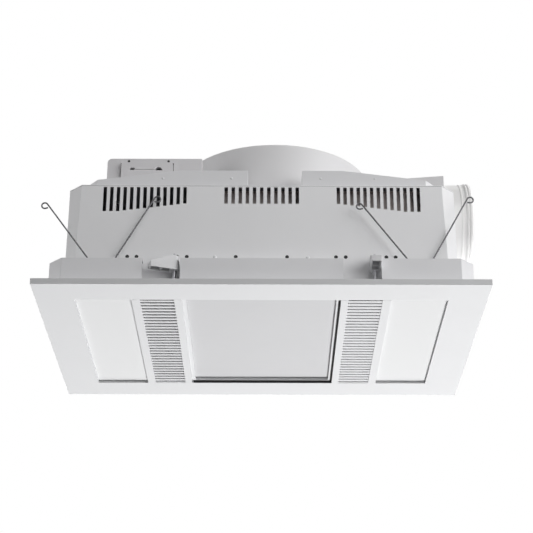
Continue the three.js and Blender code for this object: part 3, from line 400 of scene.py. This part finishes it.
# Heads of screws and rivets: a dome of (share of the radius, share of the height), and for a
# screw a cross recess whose arms have this half width and reach, in shares of the radius
HEAD_DOME = [(1.0, -0.2), (1.0, 0.35), (0.93, 0.66), (0.8, 0.88), (0.62, 1.0)]
RIVET_TOP = (0.3, 1.08)
CROSS_WIDTH, CROSS_LENGTH = 0.13, 0.48
CROSS_TAPER, CROSS_FLOOR = 0.8, 0.25


def head(made, place, normal, size, cross=True):
    """A pan head with a cross recess, or a plain rivet head, with its foot a little sunk."""
    radius, height = size
    matrix = towards(place, normal)
    corner = math.atan2(CROSS_WIDTH, CROSS_LENGTH)
    tip = CROSS_LENGTH / math.cos(corner)
    angles, reach = [], []
    for quarter in range(4):
        base = quarter * math.pi / 2
        angles += [base, base + corner, base + math.pi / 4, base + math.pi / 2 - corner]
        reach += [CROSS_LENGTH, tip, CROSS_WIDTH * math.sqrt(2), tip]
    dome = HEAD_DOME if cross else HEAD_DOME + [RIVET_TOP]
    rings = [[(radius * share, height * level)] * len(angles) for share, level in dome]
    if cross:
        rings.append([(radius * r, height) for r in reach])
        rings.append([(radius * r * CROSS_TAPER, height * CROSS_FLOOR) for r in reach])
    made_rings = []
    for ring in rings:
        made_rings.append([
            made.verts.new(matrix @ Vector((r * math.cos(a), r * math.sin(a), z)))
            for (r, z), a in zip(ring, angles)
        ])
    tube(made, made_rings)


def add_heads(name, places, size, slot, cross=True):
    """One piece of like heads on the housing, at (place, normal) pairs."""
    made = bmesh.new()
    for place, normal in places:
        head(made, place, normal, size, cross)
    shown(name, made, "housing", slot)


BLOCK_FACES = (
    (0, 1, 3, 2), (4, 6, 7, 5), (0, 4, 5, 1), (2, 3, 7, 6), (0, 2, 6, 4), (1, 5, 7, 3),
)


def slab(made, low, high, matrix=Matrix()):
    """A plain block between two corners, as part of a larger piece."""
    xs, ys, zs = zip(low, high)
    verts = [made.verts.new(matrix @ Vector((x, y, z))) for x in xs for y in ys for z in zs]
    for face in BLOCK_FACES:
        made.faces.new([verts[i] for i in face])


# ---- Carried-over nodes ----

JOIN_DISTANCE = 0.000002

# Rounding of edges by the start of a node's name, in millimetres
EDGES = {
    "fascia": 0.3, "light_bezel": 0.5, "glass_panel": 0.4, "clamp_arm": 0.7,
    "housing_end": 0.22, "housing_roof": 0.22, "mount_rail": 0.22, "roof_hood": 0.3,
    "terminal_box": 0.45, "fan": 0.35, "light_driver": 1.0, "terminal_strip": 0.6,
    "clamp_nut": 0.4, "backdraft": 0.2, "spring_bracket": 0.25,
}
KEPT_FACES = ("louvre", "housing_front", "housing_rear")  # slotted: their faces aren't joined


def geometry_group(name):
    """A geometry node group with its first and last node."""
    tree = bpy.data.node_groups.new(name, "GeometryNodeTree")
    for way in ("INPUT", "OUTPUT"):
        tree.interface.new_socket("Geometry", in_out=way, socket_type="NodeSocketGeometry")
    return tree, tree.nodes.new("NodeGroupInput"), tree.nodes.new("NodeGroupOutput")


def smoothing_group():
    """Shades faces smooth and keeps edges sharp that bend by more than SMOOTH_NODES."""
    tree, first, last = geometry_group("smooth_by_angle")
    faces = tree.nodes.new("GeometryNodeSetShadeSmooth")
    faces.domain = "FACE"
    edges = tree.nodes.new("GeometryNodeSetShadeSmooth")
    edges.domain = "EDGE"
    edges.inputs["Shade Smooth"].default_value = False
    bend = tree.nodes.new("GeometryNodeInputMeshEdgeAngle")
    sharp = tree.nodes.new("FunctionNodeCompare")
    sharp.data_type = "FLOAT"
    sharp.operation = "GREATER_THAN"
    sharp.inputs["B"].default_value = math.radians(SMOOTH_NODES)
    tree.links.new(first.outputs[0], faces.inputs["Geometry"])
    tree.links.new(faces.outputs["Geometry"], edges.inputs["Geometry"])
    tree.links.new(bend.outputs["Unsigned Angle"], sharp.inputs["A"])
    tree.links.new(sharp.outputs["Result"], edges.inputs["Selection"])
    tree.links.new(edges.outputs["Geometry"], last.inputs[0])
    return tree


def joining_group():
    """Joins the corners of a node's triangles, and drops the flat shading that it came with."""
    tree, first, last = geometry_group("join_corners")
    bare = tree.nodes.new("GeometryNodeRemoveAttribute")
    bare.inputs["Name"].default_value = "custom_normal"
    merge = tree.nodes.new("GeometryNodeMergeByDistance")
    merge.inputs["Distance"].default_value = JOIN_DISTANCE
    tree.links.new(first.outputs[0], bare.inputs["Geometry"])
    tree.links.new(bare.outputs["Geometry"], merge.inputs["Geometry"])
    tree.links.new(merge.outputs["Geometry"], last.inputs[0])
    return tree


def dress_nodes():
    joined, smoothed = joining_group(), smoothing_group()
    for name, node in nodes.items():
        finish = node.data.materials[0].name
        if name.startswith("housing_"):
            finish = "housing_steel"
        node.material_slots[0].material = finishes[finish]
        node.modifiers.new("join", "NODES").node_group = joined
        if not name.startswith(KEPT_FACES):
            join_flat_faces(node)
        width = next((w for start, w in EDGES.items() if name.startswith(start)), 0)
        if width:
            round_edges(node, width, clamp=False)
        node.modifiers.new("smooth", "NODES").node_group = smoothed
        if width:
            even = node.modifiers.new("even", "WEIGHTED_NORMAL")
            even.keep_sharp = True
            even.weight = 100


# ---- V springs ----

WIRE = 1.0
COIL_RADIUS = 4.2
COIL_PITCH = 2.55
COIL_TURNS = 3
LEFT_ARM, RIGHT_ARM = 120.0, 126.0
EYE_RADIUS = 4.0
EYE_TURN = 250
EYE_TAIL = 3.05
LEFT_LEAN, RIGHT_LEAN = 36, 29
LEG_GAP = 0.3
LEG_STEPS = 12
COIL_STEPS = 30
EYE_STEPS = 30


def at_four_corners(front_x, z):
    """The name and the placing matrix of each corner: the rear ones are half a turn away."""
    for front, x in front_x.items():
        rest = Matrix.Translation(Vector((x, -CHANNEL_Y, z)))
        for key, turn in ((front, Matrix()), (REAR_OF[front], HALF_TURN)):
            yield key, TO_METRES @ turn @ rest


def spring_leg(lean, side, arm, y):
    """A leg's root on the coil, its direction, and its points from there to the eye's end."""
    along = Vector((side * math.sin(lean), 0, math.cos(lean)))
    outward = Vector((side * math.cos(lean), 0, -math.sin(lean)))
    root = outward * COIL_RADIUS + Vector((0, y, 0))
    tip = root + along * arm
    middle = tip + outward * EYE_RADIUS
    line = [root.lerp(tip, k / LEG_STEPS) for k in range(1, LEG_STEPS + 1)]
    for k in range(1, EYE_STEPS + 1):
        angle = math.radians(EYE_TURN * k / EYE_STEPS)
        sideways = outward * EYE_RADIUS * math.cos(angle)
        line.append(middle - sideways + along * EYE_RADIUS * math.sin(angle))
    turn = math.radians(EYE_TURN)
    tail = outward * EYE_TAIL * math.sin(turn)
    line.append(line[-1] + tail + along * EYE_TAIL * math.cos(turn))
    return root, along, line


def spring_paths():
    """The wire of the left leg with the coil, and of the right leg, about the coil's middle."""
    turns = COIL_TURNS + (180 - LEFT_LEAN - RIGHT_LEAN) / 360
    start_y = -turns * COIL_PITCH / 2
    _, _, left = spring_leg(math.radians(LEFT_LEAN), -1, LEFT_ARM, start_y)
    root, along, right = spring_leg(math.radians(RIGHT_LEAN), 1, RIGHT_ARM, -start_y)
    first = math.radians(180 + LEFT_LEAN)
    last = math.radians(360 * (COIL_TURNS + 1) - RIGHT_LEAN)
    steps = round((last - first) / (2 * math.pi) * COIL_STEPS)
    coil = []
    for k in range(steps + 1):
        share = k / steps
        angle = first + (last - first) * share
        y = start_y - 2 * start_y * share
        coil.append(Vector((COIL_RADIUS * math.cos(angle), y, COIL_RADIUS * math.sin(angle))))
    return list(reversed(left)) + coil, [root + along * LEG_GAP] + right


def add_springs():
    coil_leg, free_leg = spring_paths()
    for key, place in at_four_corners(SPRING_X, SPRING_Z):
        for part, path in (("coil", coil_leg), ("free", free_leg)):
            node = f"spring_{part}_leg_{key}"
            made = bmesh.new()
            wire(made, path, WIRE)
            shown(f"{node}_wire", made, node, "spring_wire", node, matrix=place)


# ---- Swing clamp screws ----

SCREW_ROOT, SCREW_CREST, SCREW_LEAD = 2.08, 2.5, 0.8
SCREW_LOW, SCREW_HIGH = 6.5, 54.0
SCREW_HEAD = (5.0, 3.3)
SCREW_SIDES = 16
THREAD_ROWS = 3
TIP_SHARE, TIP_TAPER = 0.6, 0.9


def thread_radius(z, turn):
    phase = (z / SCREW_LEAD - turn) % 1
    radius = SCREW_ROOT + (SCREW_CREST - SCREW_ROOT) * (1 - abs(2 * phase - 1))
    return min(radius, SCREW_ROOT * TIP_SHARE + (SCREW_HIGH - z) * TIP_TAPER)


def add_clamp_screws():
    step = SCREW_LEAD / THREAD_ROWS
    rows = int((SCREW_HIGH - SCREW_LOW) / step)
    for key, place in at_four_corners(CLAMP_X, 0):
        made = bmesh.new()
        rings = []
        for row in range(rows + 1):
            z = SCREW_LOW + row * step
            ring = []
            for k in range(SCREW_SIDES):
                angle = 2 * math.pi * k / SCREW_SIDES
                radius = thread_radius(z, k / SCREW_SIDES)
                at = (radius * math.cos(angle), radius * math.sin(angle), z)
                ring.append(made.verts.new(at))
            rings.append(ring)
        tube(made, rings)
        head(made, (0, 0, SCREW_LOW), (0, 0, -1), SCREW_HEAD)
        node = f"clamp_screw_{key}"
        shown(f"{node}_threaded", made, node, "screw_steel", node, matrix=place)


# ---- Duct spigot ----

DUCT_Y, DUCT_Z = -54.7, 150.0
SPIGOT_X, SPIGOT_END = 248.3, 285.0
SPIGOT_RADIUS, SPIGOT_BORE, SPIGOT_BEAD = 61.0, 59.8, 62.5
THROAT_RADIUS, THROAT_END, TAPER_END = 50.0, 259.0, 264.0
FLANGE_RADIUS, FLANGE_FACE = 63.5, 249.5
SPIGOT_SIDES, SPIGOT_SMOOTH, SPIGOT_WELD = 128, 28, 0.001
SPIGOT_SCREW = (2.8, 2.0)
SPIGOT_SCREW_TURN, SPIGOT_SCREW_REACH, SPIGOT_SCREW_X = 38, THROAT_RADIUS + 4.6, THROAT_END + 2.2

# (radius, X): the flange, a rib, two beads and the end, and then back along the bore
SPIGOT_PROFILE = [
    (THROAT_RADIUS, SPIGOT_X + 0.3), (THROAT_RADIUS + 0.3, SPIGOT_X), (FLANGE_RADIUS, SPIGOT_X),
    (FLANGE_RADIUS, FLANGE_FACE), (SPIGOT_RADIUS + 0.8, FLANGE_FACE),
    (SPIGOT_RADIUS, FLANGE_FACE + 0.8),
    (SPIGOT_RADIUS, 269.4), (SPIGOT_RADIUS + 0.7, 270.2), (SPIGOT_RADIUS + 0.7, 271.8),
    (SPIGOT_RADIUS, 272.6), (SPIGOT_RADIUS, 275.6), (SPIGOT_RADIUS + 0.4, 276.2),
    (SPIGOT_BEAD - 0.3, 277.1), (SPIGOT_BEAD, 277.8), (SPIGOT_BEAD, 279.0),
    (SPIGOT_BEAD - 0.8, 279.8), (SPIGOT_BEAD - 0.8, 280.8), (SPIGOT_BEAD, 281.6),
    (SPIGOT_BEAD, 283.0), (SPIGOT_BEAD - 0.5, 284.1), (SPIGOT_RADIUS, SPIGOT_END - 0.2),
    (SPIGOT_RADIUS - 0.4, SPIGOT_END),
    (SPIGOT_BORE + 0.4, SPIGOT_END), (SPIGOT_BORE, SPIGOT_END - 0.5),
    (SPIGOT_BORE, TAPER_END + 0.6), (SPIGOT_BORE - 0.4, TAPER_END - 0.3),
    (THROAT_RADIUS + 0.5, THROAT_END + 0.3), (THROAT_RADIUS, THROAT_END - 0.4),
    (THROAT_RADIUS, SPIGOT_X + 0.3),
]


def add_spigot():
    """A turned spigot with its flange, a rib, a grooved bead and the throat that the flap shuts."""
    lay = Matrix.Translation(Vector((0, DUCT_Y, DUCT_Z))) @ Matrix.Rotation(math.pi / 2, 4, "Y")
    made = bmesh.new()
    lathe(made, SPIGOT_PROFILE, SPIGOT_SIDES, lay)
    bmesh.ops.remove_doubles(made, verts=made.verts, dist=SPIGOT_WELD)
    shown("spigot_tube", made, "housing", "duct_plastic", "duct_spigot", smooth=SPIGOT_SMOOTH)

    screws = []
    for k in range(4):
        angle = math.radians(SPIGOT_SCREW_TURN + 90 * k)
        y = DUCT_Y + SPIGOT_SCREW_REACH * math.cos(angle)
        z = DUCT_Z + SPIGOT_SCREW_REACH * math.sin(angle)
        screws.append(((SPIGOT_SCREW_X, y, z), (1, 0, 0)))
    add_heads("spigot_screws", screws, SPIGOT_SCREW, "screw_steel")


# ---- Electrical box's cable clamp ----

CLAMP_LEFT, CLAMP_RIGHT = -189.5, -119.9
CLAMP_LOW, CLAMP_TOP = 158.9, 207.6
CLAMP_REAR, CLAMP_FRONT = -136.8, -141.8
CLAMP_CORNER, CORNER_STEPS, CLAMP_ROUNDING = 3.5, 6, 0.45
SLOT_X, SLOT_REACH, SLOT_RADIUS, SLOT_SIDES = -174.47, 1.7, 1.8, 24
HOLE_X, HOLE_Z, HOLE_RADIUS, HOLE_STEPS = -138.97, 195.3, 5.0, 16
SLOT_Z = HOLE_Z + 2.3
SEAM_LOW, SEAM_TOP, SEAM_MARGIN = HOLE_Z + 1.1, HOLE_Z + 1.8, 0.7
BOX_FRONT, BOX_TOP = -136.5, 215.9
BOX_RIVET, BOX_RIVET_X, BOX_RIVET_Z = (1.7, 0.6), (-179.8, -126.2), BOX_TOP - 4.2
BOX_SCREW, BOX_SCREW_X, BOX_SCREW_Y = (2.8, 1.5), (-200.0, -90.0), -120.0
# The near-black plate behind the clamp paints its shadow, reaching this much wider at the sides and
# top
CLAMP_SHADOW = 0.9
CLAMP_SHADOW_FRONT, CLAMP_SHADOW_REAR = CLAMP_REAR - 0.3, CLAMP_REAR + 0.25


def arc(x, z, radius, start, turn, steps):
    """Points of an arc in X and Z, with its angles in degrees."""
    line = []
    for k in range(steps + 1):
        angle = math.radians(start + turn * k / steps)
        line.append((x + radius * math.cos(angle), z + radius * math.sin(angle)))
    return line


def add_cable_clamp():
    """A moulded block with a screw slot, a half-round cable opening and the seam of its jaws."""
    corner = CLAMP_CORNER
    outline = [(CLAMP_LEFT, CLAMP_LOW), (CLAMP_RIGHT, CLAMP_LOW)]
    outline += arc(CLAMP_RIGHT - corner, CLAMP_TOP - corner, corner, 0, 90, CORNER_STEPS)
    outline += arc(CLAMP_LEFT + corner, CLAMP_TOP - corner, corner, 90, 90, CORNER_STEPS)
    slot_hole = []
    for k in range(SLOT_SIDES):
        angle = 2 * math.pi * (k + 0.5) / SLOT_SIDES
        middle = SLOT_X + math.copysign(SLOT_REACH, math.cos(angle))
        slot_hole.append(
            (middle + SLOT_RADIUS * math.cos(angle), SLOT_Z + SLOT_RADIUS * math.sin(angle))
        )
    half_moon = arc(HOLE_X, HOLE_Z, HOLE_RADIUS, 0, 180, HOLE_STEPS)
    seam_left = SLOT_X + SLOT_REACH + SLOT_RADIUS + SEAM_MARGIN
    seam_right = HOLE_X - HOLE_RADIUS - SEAM_MARGIN
    seam = [
        (seam_left, SEAM_LOW), (seam_right, SEAM_LOW),
        (seam_right, SEAM_TOP), (seam_left, SEAM_TOP),
    ]
    made = bmesh.new()
    edges = []
    for line in (outline, slot_hole, half_moon, seam):
        loop = [made.verts.new((x, CLAMP_FRONT, z)) for x, z in line]
        edges += [made.edges.new(pair) for pair in zip(loop, loop[1:] + loop[:1])]
    bmesh.ops.triangle_fill(made, use_beauty=True, use_dissolve=False, edges=edges)
    bmesh.ops.recalc_face_normals(made, faces=made.faces)
    thick = bmesh.ops.extrude_face_region(made, geom=list(made.faces))
    moved = [item for item in thick["geom"] if isinstance(item, bmesh.types.BMVert)]
    bmesh.ops.translate(made, verts=moved, vec=(0, CLAMP_REAR - CLAMP_FRONT, 0))
    block = shown("cable_clamp_block", made, "housing", "grey_steel", "cable_clamp", smooth=0)
    join_flat_faces(block)
    round_edges(block, CLAMP_ROUNDING, clamp=True)

    # Painted shadow: a near-black plate a little larger than the block, behind it, and the box's
    # two rivet heads in the same near-black
    made = bmesh.new()
    slab(
        made, (CLAMP_LEFT - CLAMP_SHADOW, CLAMP_SHADOW_FRONT, CLAMP_LOW),
        (CLAMP_RIGHT + CLAMP_SHADOW, CLAMP_SHADOW_REAR, CLAMP_TOP + CLAMP_SHADOW),
    )
    for x in BOX_RIVET_X:
        head(made, (x, BOX_FRONT, BOX_RIVET_Z), (0, -1, 0), BOX_RIVET, cross=False)
    shown("cable_clamp_painted_shadow", made, "housing", "motor_body", smooth=0, finish="painted_shade_black")

    screws = [((x, BOX_SCREW_Y, BOX_TOP), (0, 0, 1)) for x in BOX_SCREW_X]
    add_heads("terminal_box_screws", screws, BOX_SCREW, "screw_steel")


# ---- Small fasteners of the housing ----

WALL_RIVET, WALL_RIVET_X, WALL_RIVET_Z = (2.2, 1.0), (-60.0, 60.0), 54.0
END_RIVET_Y, END_RIVET_Z = -145.0, (30.0, 70.0, 110.0, 146.0)
ROOF_SCREW = (3.2, 1.8)
ROOF_SCREWS = [(x, 163.0) for x in (-228.0, -150.0, 0.0, 150.0, 228.0)]
ROOF_SCREWS += [(x, y) for x in (-246.0, 246.0) for y in (-110.0, 60.0, 118.0)]
ROOF_SCREWS += [(-8.0, -163.5), (44.0, -163.5)]
HOOD_RIVET, HOOD_RIVET_X = (1.7, 0.7), (-131.0, -40.0, 78.0, 150.0)
HOOD_Y, HOOD_RIVET_Z = -165.0, 171.0


def both_ways(places):
    """Each place and normal, and its copy on the other long side, turned by half a turn."""
    out = []
    for place, normal in places:
        out.append((place, normal))
        out.append(((-place[0], -place[1], place[2]), (-normal[0], -normal[1], normal[2])))
    return out


def add_wall_fasteners():
    rivets = [((x, -HOUSING_Y, WALL_RIVET_Z), (0, -1, 0)) for x in WALL_RIVET_X]
    for side in (-1, 1):
        rivets += [((side * HOUSING_X, END_RIVET_Y, z), (side, 0, 0)) for z in END_RIVET_Z]
    add_heads("wall_rivets", both_ways(rivets), WALL_RIVET, "coated_steel", cross=False)
    screws = [((x, y, ROOF_TOP), (0, 0, 1)) for x, y in ROOF_SCREWS]
    add_heads("roof_screws", screws, ROOF_SCREW, "screw_steel")
    rivets = [((x, HOOD_Y, HOOD_RIVET_Z), (0, -1, 0)) for x in HOOD_RIVET_X]
    add_heads("hood_rivets", rivets, HOOD_RIVET, "coated_steel", cross=False)


FAN_X = 17.5
FAN_TOP = 240.4
FLANGE_TOP = 160.1
# Each ring of screws is (size, distance from the fan's axis, height, angles). The hoods, the
# terminal box and the duct stand where the flange has no screws.
FAN_SCREWS = [
    ((2.6, 1.5), 138.2, FLANGE_TOP, (22.5, 67.5, 112.5, 157.5, 202.5)),
    ((3.4, 1.8), 42, FAN_TOP, (45, 135, 225, 315)),
]
BEADS, BEAD_SIDES = (58.0, 104.0), 112
BEAD_PROFILE = [  # (from the bead's middle, height)
    (-3.0, -0.2), (-2.2, 0.5), (-1.0, 1.0), (1.0, 1.0), (2.2, 0.5), (3.0, -0.2), (-3.0, -0.2),
]


def add_fan_details():
    """The screws of the fan housing's flange and top, and two raised beads on the top."""
    made = bmesh.new()
    for size, reach, height, angles in FAN_SCREWS:
        for angle in map(math.radians, angles):
            place = (FAN_X + reach * math.cos(angle), reach * math.sin(angle), height)
            head(made, place, (0, 0, 1), size)
    shown("fan_screws", made, "housing", "screw_steel")

    made = bmesh.new()
    top = Matrix.Translation(Vector((FAN_X, 0, FAN_TOP)))
    for radius in BEADS:
        profile = [(radius + shift, height) for shift, height in BEAD_PROFILE]
        lathe(made, profile, BEAD_SIDES, top)
    shown("fan_top_beads", made, "housing", "fan_plastic")


# ---- Louvres ----

RAIL_INNER, RAIL_OUTER = 102.5, 167.0
LOUVRE_INNER, LOUVRE_OUTER = 112.0, 156.0
LOUVRE_HALF, RAIL_THICK, RAIL_HIGH = 154.7, 3.7, 10.0
RAIL_WALL = 2.0
END_BAR, END_BAR_LOW = 152.0, 0.4
TAB_START, TAB_END, TAB_LOW, TAB_TOP = 153.7, 159.5, 4.0, 6.0
BLADES, BLADE_PITCH, FIRST_BLADE = 30, 10.1, -151.0
BLADE_WIDTHS = {-1: 5.3, 1: 6.5}
BLADE_SINK = 0.4
BLADE_PROFILE = [  # (0 from the front edge or 1 from the rear edge, shift in Y, height)
    (0, 0.0, 1.1), (0, 0.3, 0.8), (1, -0.3, 0.8), (1, 0.1, 1.1),
    (1, 2.8, 8.2), (1, 1.6, 8.2), (1, -1.6, 2.0), (0, 0.0, 2.0),
]


def add_louvres():
    """Two grilles whose blades start close to the fascia's front edge and lean to the rear."""
    half = LOUVRE_HALF
    for side, name in ((-1, "louvre_frame_left"), (1, "louvre_frame_right")):
        made = bmesh.new()
        across = Matrix.Scale(side, 4, (1, 0, 0))
        for x, y, z in (
            ((RAIL_INNER, LOUVRE_INNER), (-half, half), (0, RAIL_THICK)),
            ((LOUVRE_OUTER, RAIL_OUTER), (-half, half), (0, RAIL_THICK)),
            ((LOUVRE_INNER - RAIL_WALL, LOUVRE_INNER), (-half, half), (RAIL_THICK, RAIL_HIGH)),
            ((LOUVRE_OUTER, LOUVRE_OUTER + RAIL_WALL), (-half, half), (RAIL_THICK, RAIL_HIGH)),
            ((LOUVRE_INNER, LOUVRE_OUTER), (END_BAR, half), (END_BAR_LOW, TAB_LOW)),
            ((LOUVRE_INNER, LOUVRE_OUTER), (-TAB_END, -TAB_START), (TAB_LOW, TAB_TOP)),
            ((LOUVRE_INNER, LOUVRE_OUTER), (END_BAR, TAB_END), (TAB_LOW, TAB_TOP)),
        ):
            slab(made, (x[0], y[0], z[0]), (x[1], y[1], z[1]), across)
        for k in range(BLADES):
            near = FIRST_BLADE + k * BLADE_PITCH
            width = BLADE_WIDTHS[side]
            outline = [(near + edge * width + shift, z) for edge, shift, z in BLADE_PROFILE]
            ends = []
            for x in (LOUVRE_INNER - BLADE_SINK, LOUVRE_OUTER + BLADE_SINK):
                ends.append([made.verts.new(across @ Vector((x, y, z))) for y, z in outline])
            tube(made, ends)
        shown(f"{name}_blades", made, "fascia", "fascia_white", name, smooth=0)


# ---- Painted shade and shadow ----

OPENING_END = 155.0
# Near-black strips that paint the shadow on the far and right walls and the right ledge of the
# light's recess, and the shade in the louvres' first gaps
SHADOW_STRIP, SHADOW_STRIP_INSET, SHADOW_STRIP_LOW, SHADOW_STRIP_TOP = 0.5, 2, 0.5, 3.9
LEDGE_SHADOW, LEDGE_SHADOW_LOW, LEDGE_SHADOW_TOP = 2.8, 3.7, 3.95
GAP_SHADE_FRONT, GAP_SHADE_REAR = FIRST_BLADE - 0.3, FIRST_BLADE - 0.05
GAP_SHADE_LOW, GAP_SHADE_STEP, GAP_SHADE_TOP = 0.9, 2.3, 2.8
# Mid-dark sheets behind the middle and right slots of the front wall, which paint the dim inside
# seen through them
SHADE_SHEET_X, SHADE_SHEET_Y = ((-56.0, 56.0), (95.0, 214.0)), -150.0
SHADE_SHEET_LOW, SHADE_SHEET_TOP, SHADE_SHEET_THICK, SHADE_SHEET_FOLD = 108.0, 156.8, 0.6, 6.0
# A near-black band and discs behind the foot holes, which paint the shade inside them
HOLE_LINE, HOLE_BAND, HOLE_REACH = 54.5, 3.2, 184.0
WALL_BACK, BAND_THICK = 168.2, 0.4
HOLE_SHARES, HOLE_SHADE_DISC = (0.13, 0.378, 0.427, 0.633, 0.68), (2.5, 0.3)


def add_painted_shade():
    """Painted shade: near-black strips for the shadow in the light's recess and the shade in the
    louvres' first gaps and the foot holes, and mid-dark sheets behind the middle and right slots
    for the dim inside."""
    # Painted shadow on the recess's far and right walls and ledge, and painted shade in the
    # louvres' first gaps
    made = bmesh.new()
    slab(
        made, (-RAIL_INNER + SHADOW_STRIP_INSET, OPENING_END - SHADOW_STRIP, SHADOW_STRIP_LOW),
        (RAIL_INNER, OPENING_END, SHADOW_STRIP_TOP),
    )
    slab(made, (RAIL_INNER - SHADOW_STRIP, -LOUVRE_HALF, SHADOW_STRIP_LOW), (RAIL_INNER, OPENING_END, SHADOW_STRIP_TOP))
    slab(
        made, (RAIL_INNER - LEDGE_SHADOW, -LOUVRE_HALF, LEDGE_SHADOW_LOW),
        (RAIL_INNER, OPENING_END, LEDGE_SHADOW_TOP),
    )
    for side in (-1, 1):
        left, right = sorted((side * LOUVRE_INNER, side * LOUVRE_OUTER))
        slab(made, (left, -LOUVRE_HALF, GAP_SHADE_STEP), (right, GAP_SHADE_FRONT, GAP_SHADE_TOP))
        slab(made, (left, GAP_SHADE_FRONT, GAP_SHADE_LOW), (right, GAP_SHADE_REAR, GAP_SHADE_TOP))
    shown("recess_painted_shadow", made, "fascia", "motor_body", smooth=0, finish="painted_shade_black")

    # Painted shade: the sheets behind the middle and right slots
    made = bmesh.new()
    fold_low, fold_rear = SHADE_SHEET_TOP - SHADE_SHEET_THICK, SHADE_SHEET_Y - SHADE_SHEET_THICK / 2
    for left, right in SHADE_SHEET_X:
        slab(made, (left, SHADE_SHEET_Y - SHADE_SHEET_THICK, SHADE_SHEET_LOW), (right, SHADE_SHEET_Y, SHADE_SHEET_TOP))
        slab(made, (left, SHADE_SHEET_Y - SHADE_SHEET_FOLD, fold_low), (right, fold_rear, SHADE_SHEET_TOP))
    shown("slot_painted_shade", made, "housing", "motor_body", smooth=0, finish="painted_shade_sheet")

    # Painted shade behind the foot holes
    made = bmesh.new()
    for side in (-1, 1):
        front, rear = sorted((side * WALL_BACK, side * (WALL_BACK - BAND_THICK)))
        slab(
            made, (-HOLE_REACH, front, HOLE_LINE - HOLE_BAND),
            (HOLE_REACH, rear, HOLE_LINE + HOLE_BAND),
        )
    for side in (-1, 1):
        for share in HOLE_SHARES:
            for x in (share * HOUSING_X, -share * HOUSING_X):
                place = (x, side * HOUSING_Y, HOLE_LINE)
                head(made, place, (0, side, 0), HOLE_SHADE_DISC, cross=False)
    shown("hole_painted_shade", made, "housing", "motor_body", smooth=0, finish="painted_shade_black")


# ---- The fascia's mitres ----

FASCIA_CORNER, OPENING_CORNER = (286.0, 201.0), (240.6, 155.6)
SEAM_HALF, SEAM_PROUD, SEAM_DEEP = 0.5, 0.005, 0.5


def add_seams():
    """The filled and painted mitres of the fascia's four corners."""
    aside = SEAM_HALF / math.sqrt(2)
    (ox, oy), (ix, iy) = FASCIA_CORNER, OPENING_CORNER
    outline = [
        (ix + aside, iy - aside), (ox + aside, oy - aside),
        (ox - aside, oy + aside), (ix - aside, iy + aside),
    ]
    made = bmesh.new()
    for sx in (-1, 1):
        for sy in (-1, 1):
            flip = Matrix.Scale(sx, 4, (1, 0, 0)) @ Matrix.Scale(sy, 4, (0, 1, 0))
            tube(made, [
                [made.verts.new(flip @ Vector((x, y, z))) for x, y in outline]
                for z in (-SEAM_PROUD, SEAM_DEEP)
            ])
    shown("fascia_seams", made, "fascia", "fascia_white", smooth=0)


add_camera()
add_lamps()
add_world()
add_floor()
finishes = make_finishes()
dress_nodes()
add_springs()
add_clamp_screws()
add_spigot()
add_cable_clamp()
add_wall_fasteners()
add_fan_details()
add_louvres()
add_painted_shade()
add_seams()

bpy.context.scene.view_settings.view_transform = "Standard"
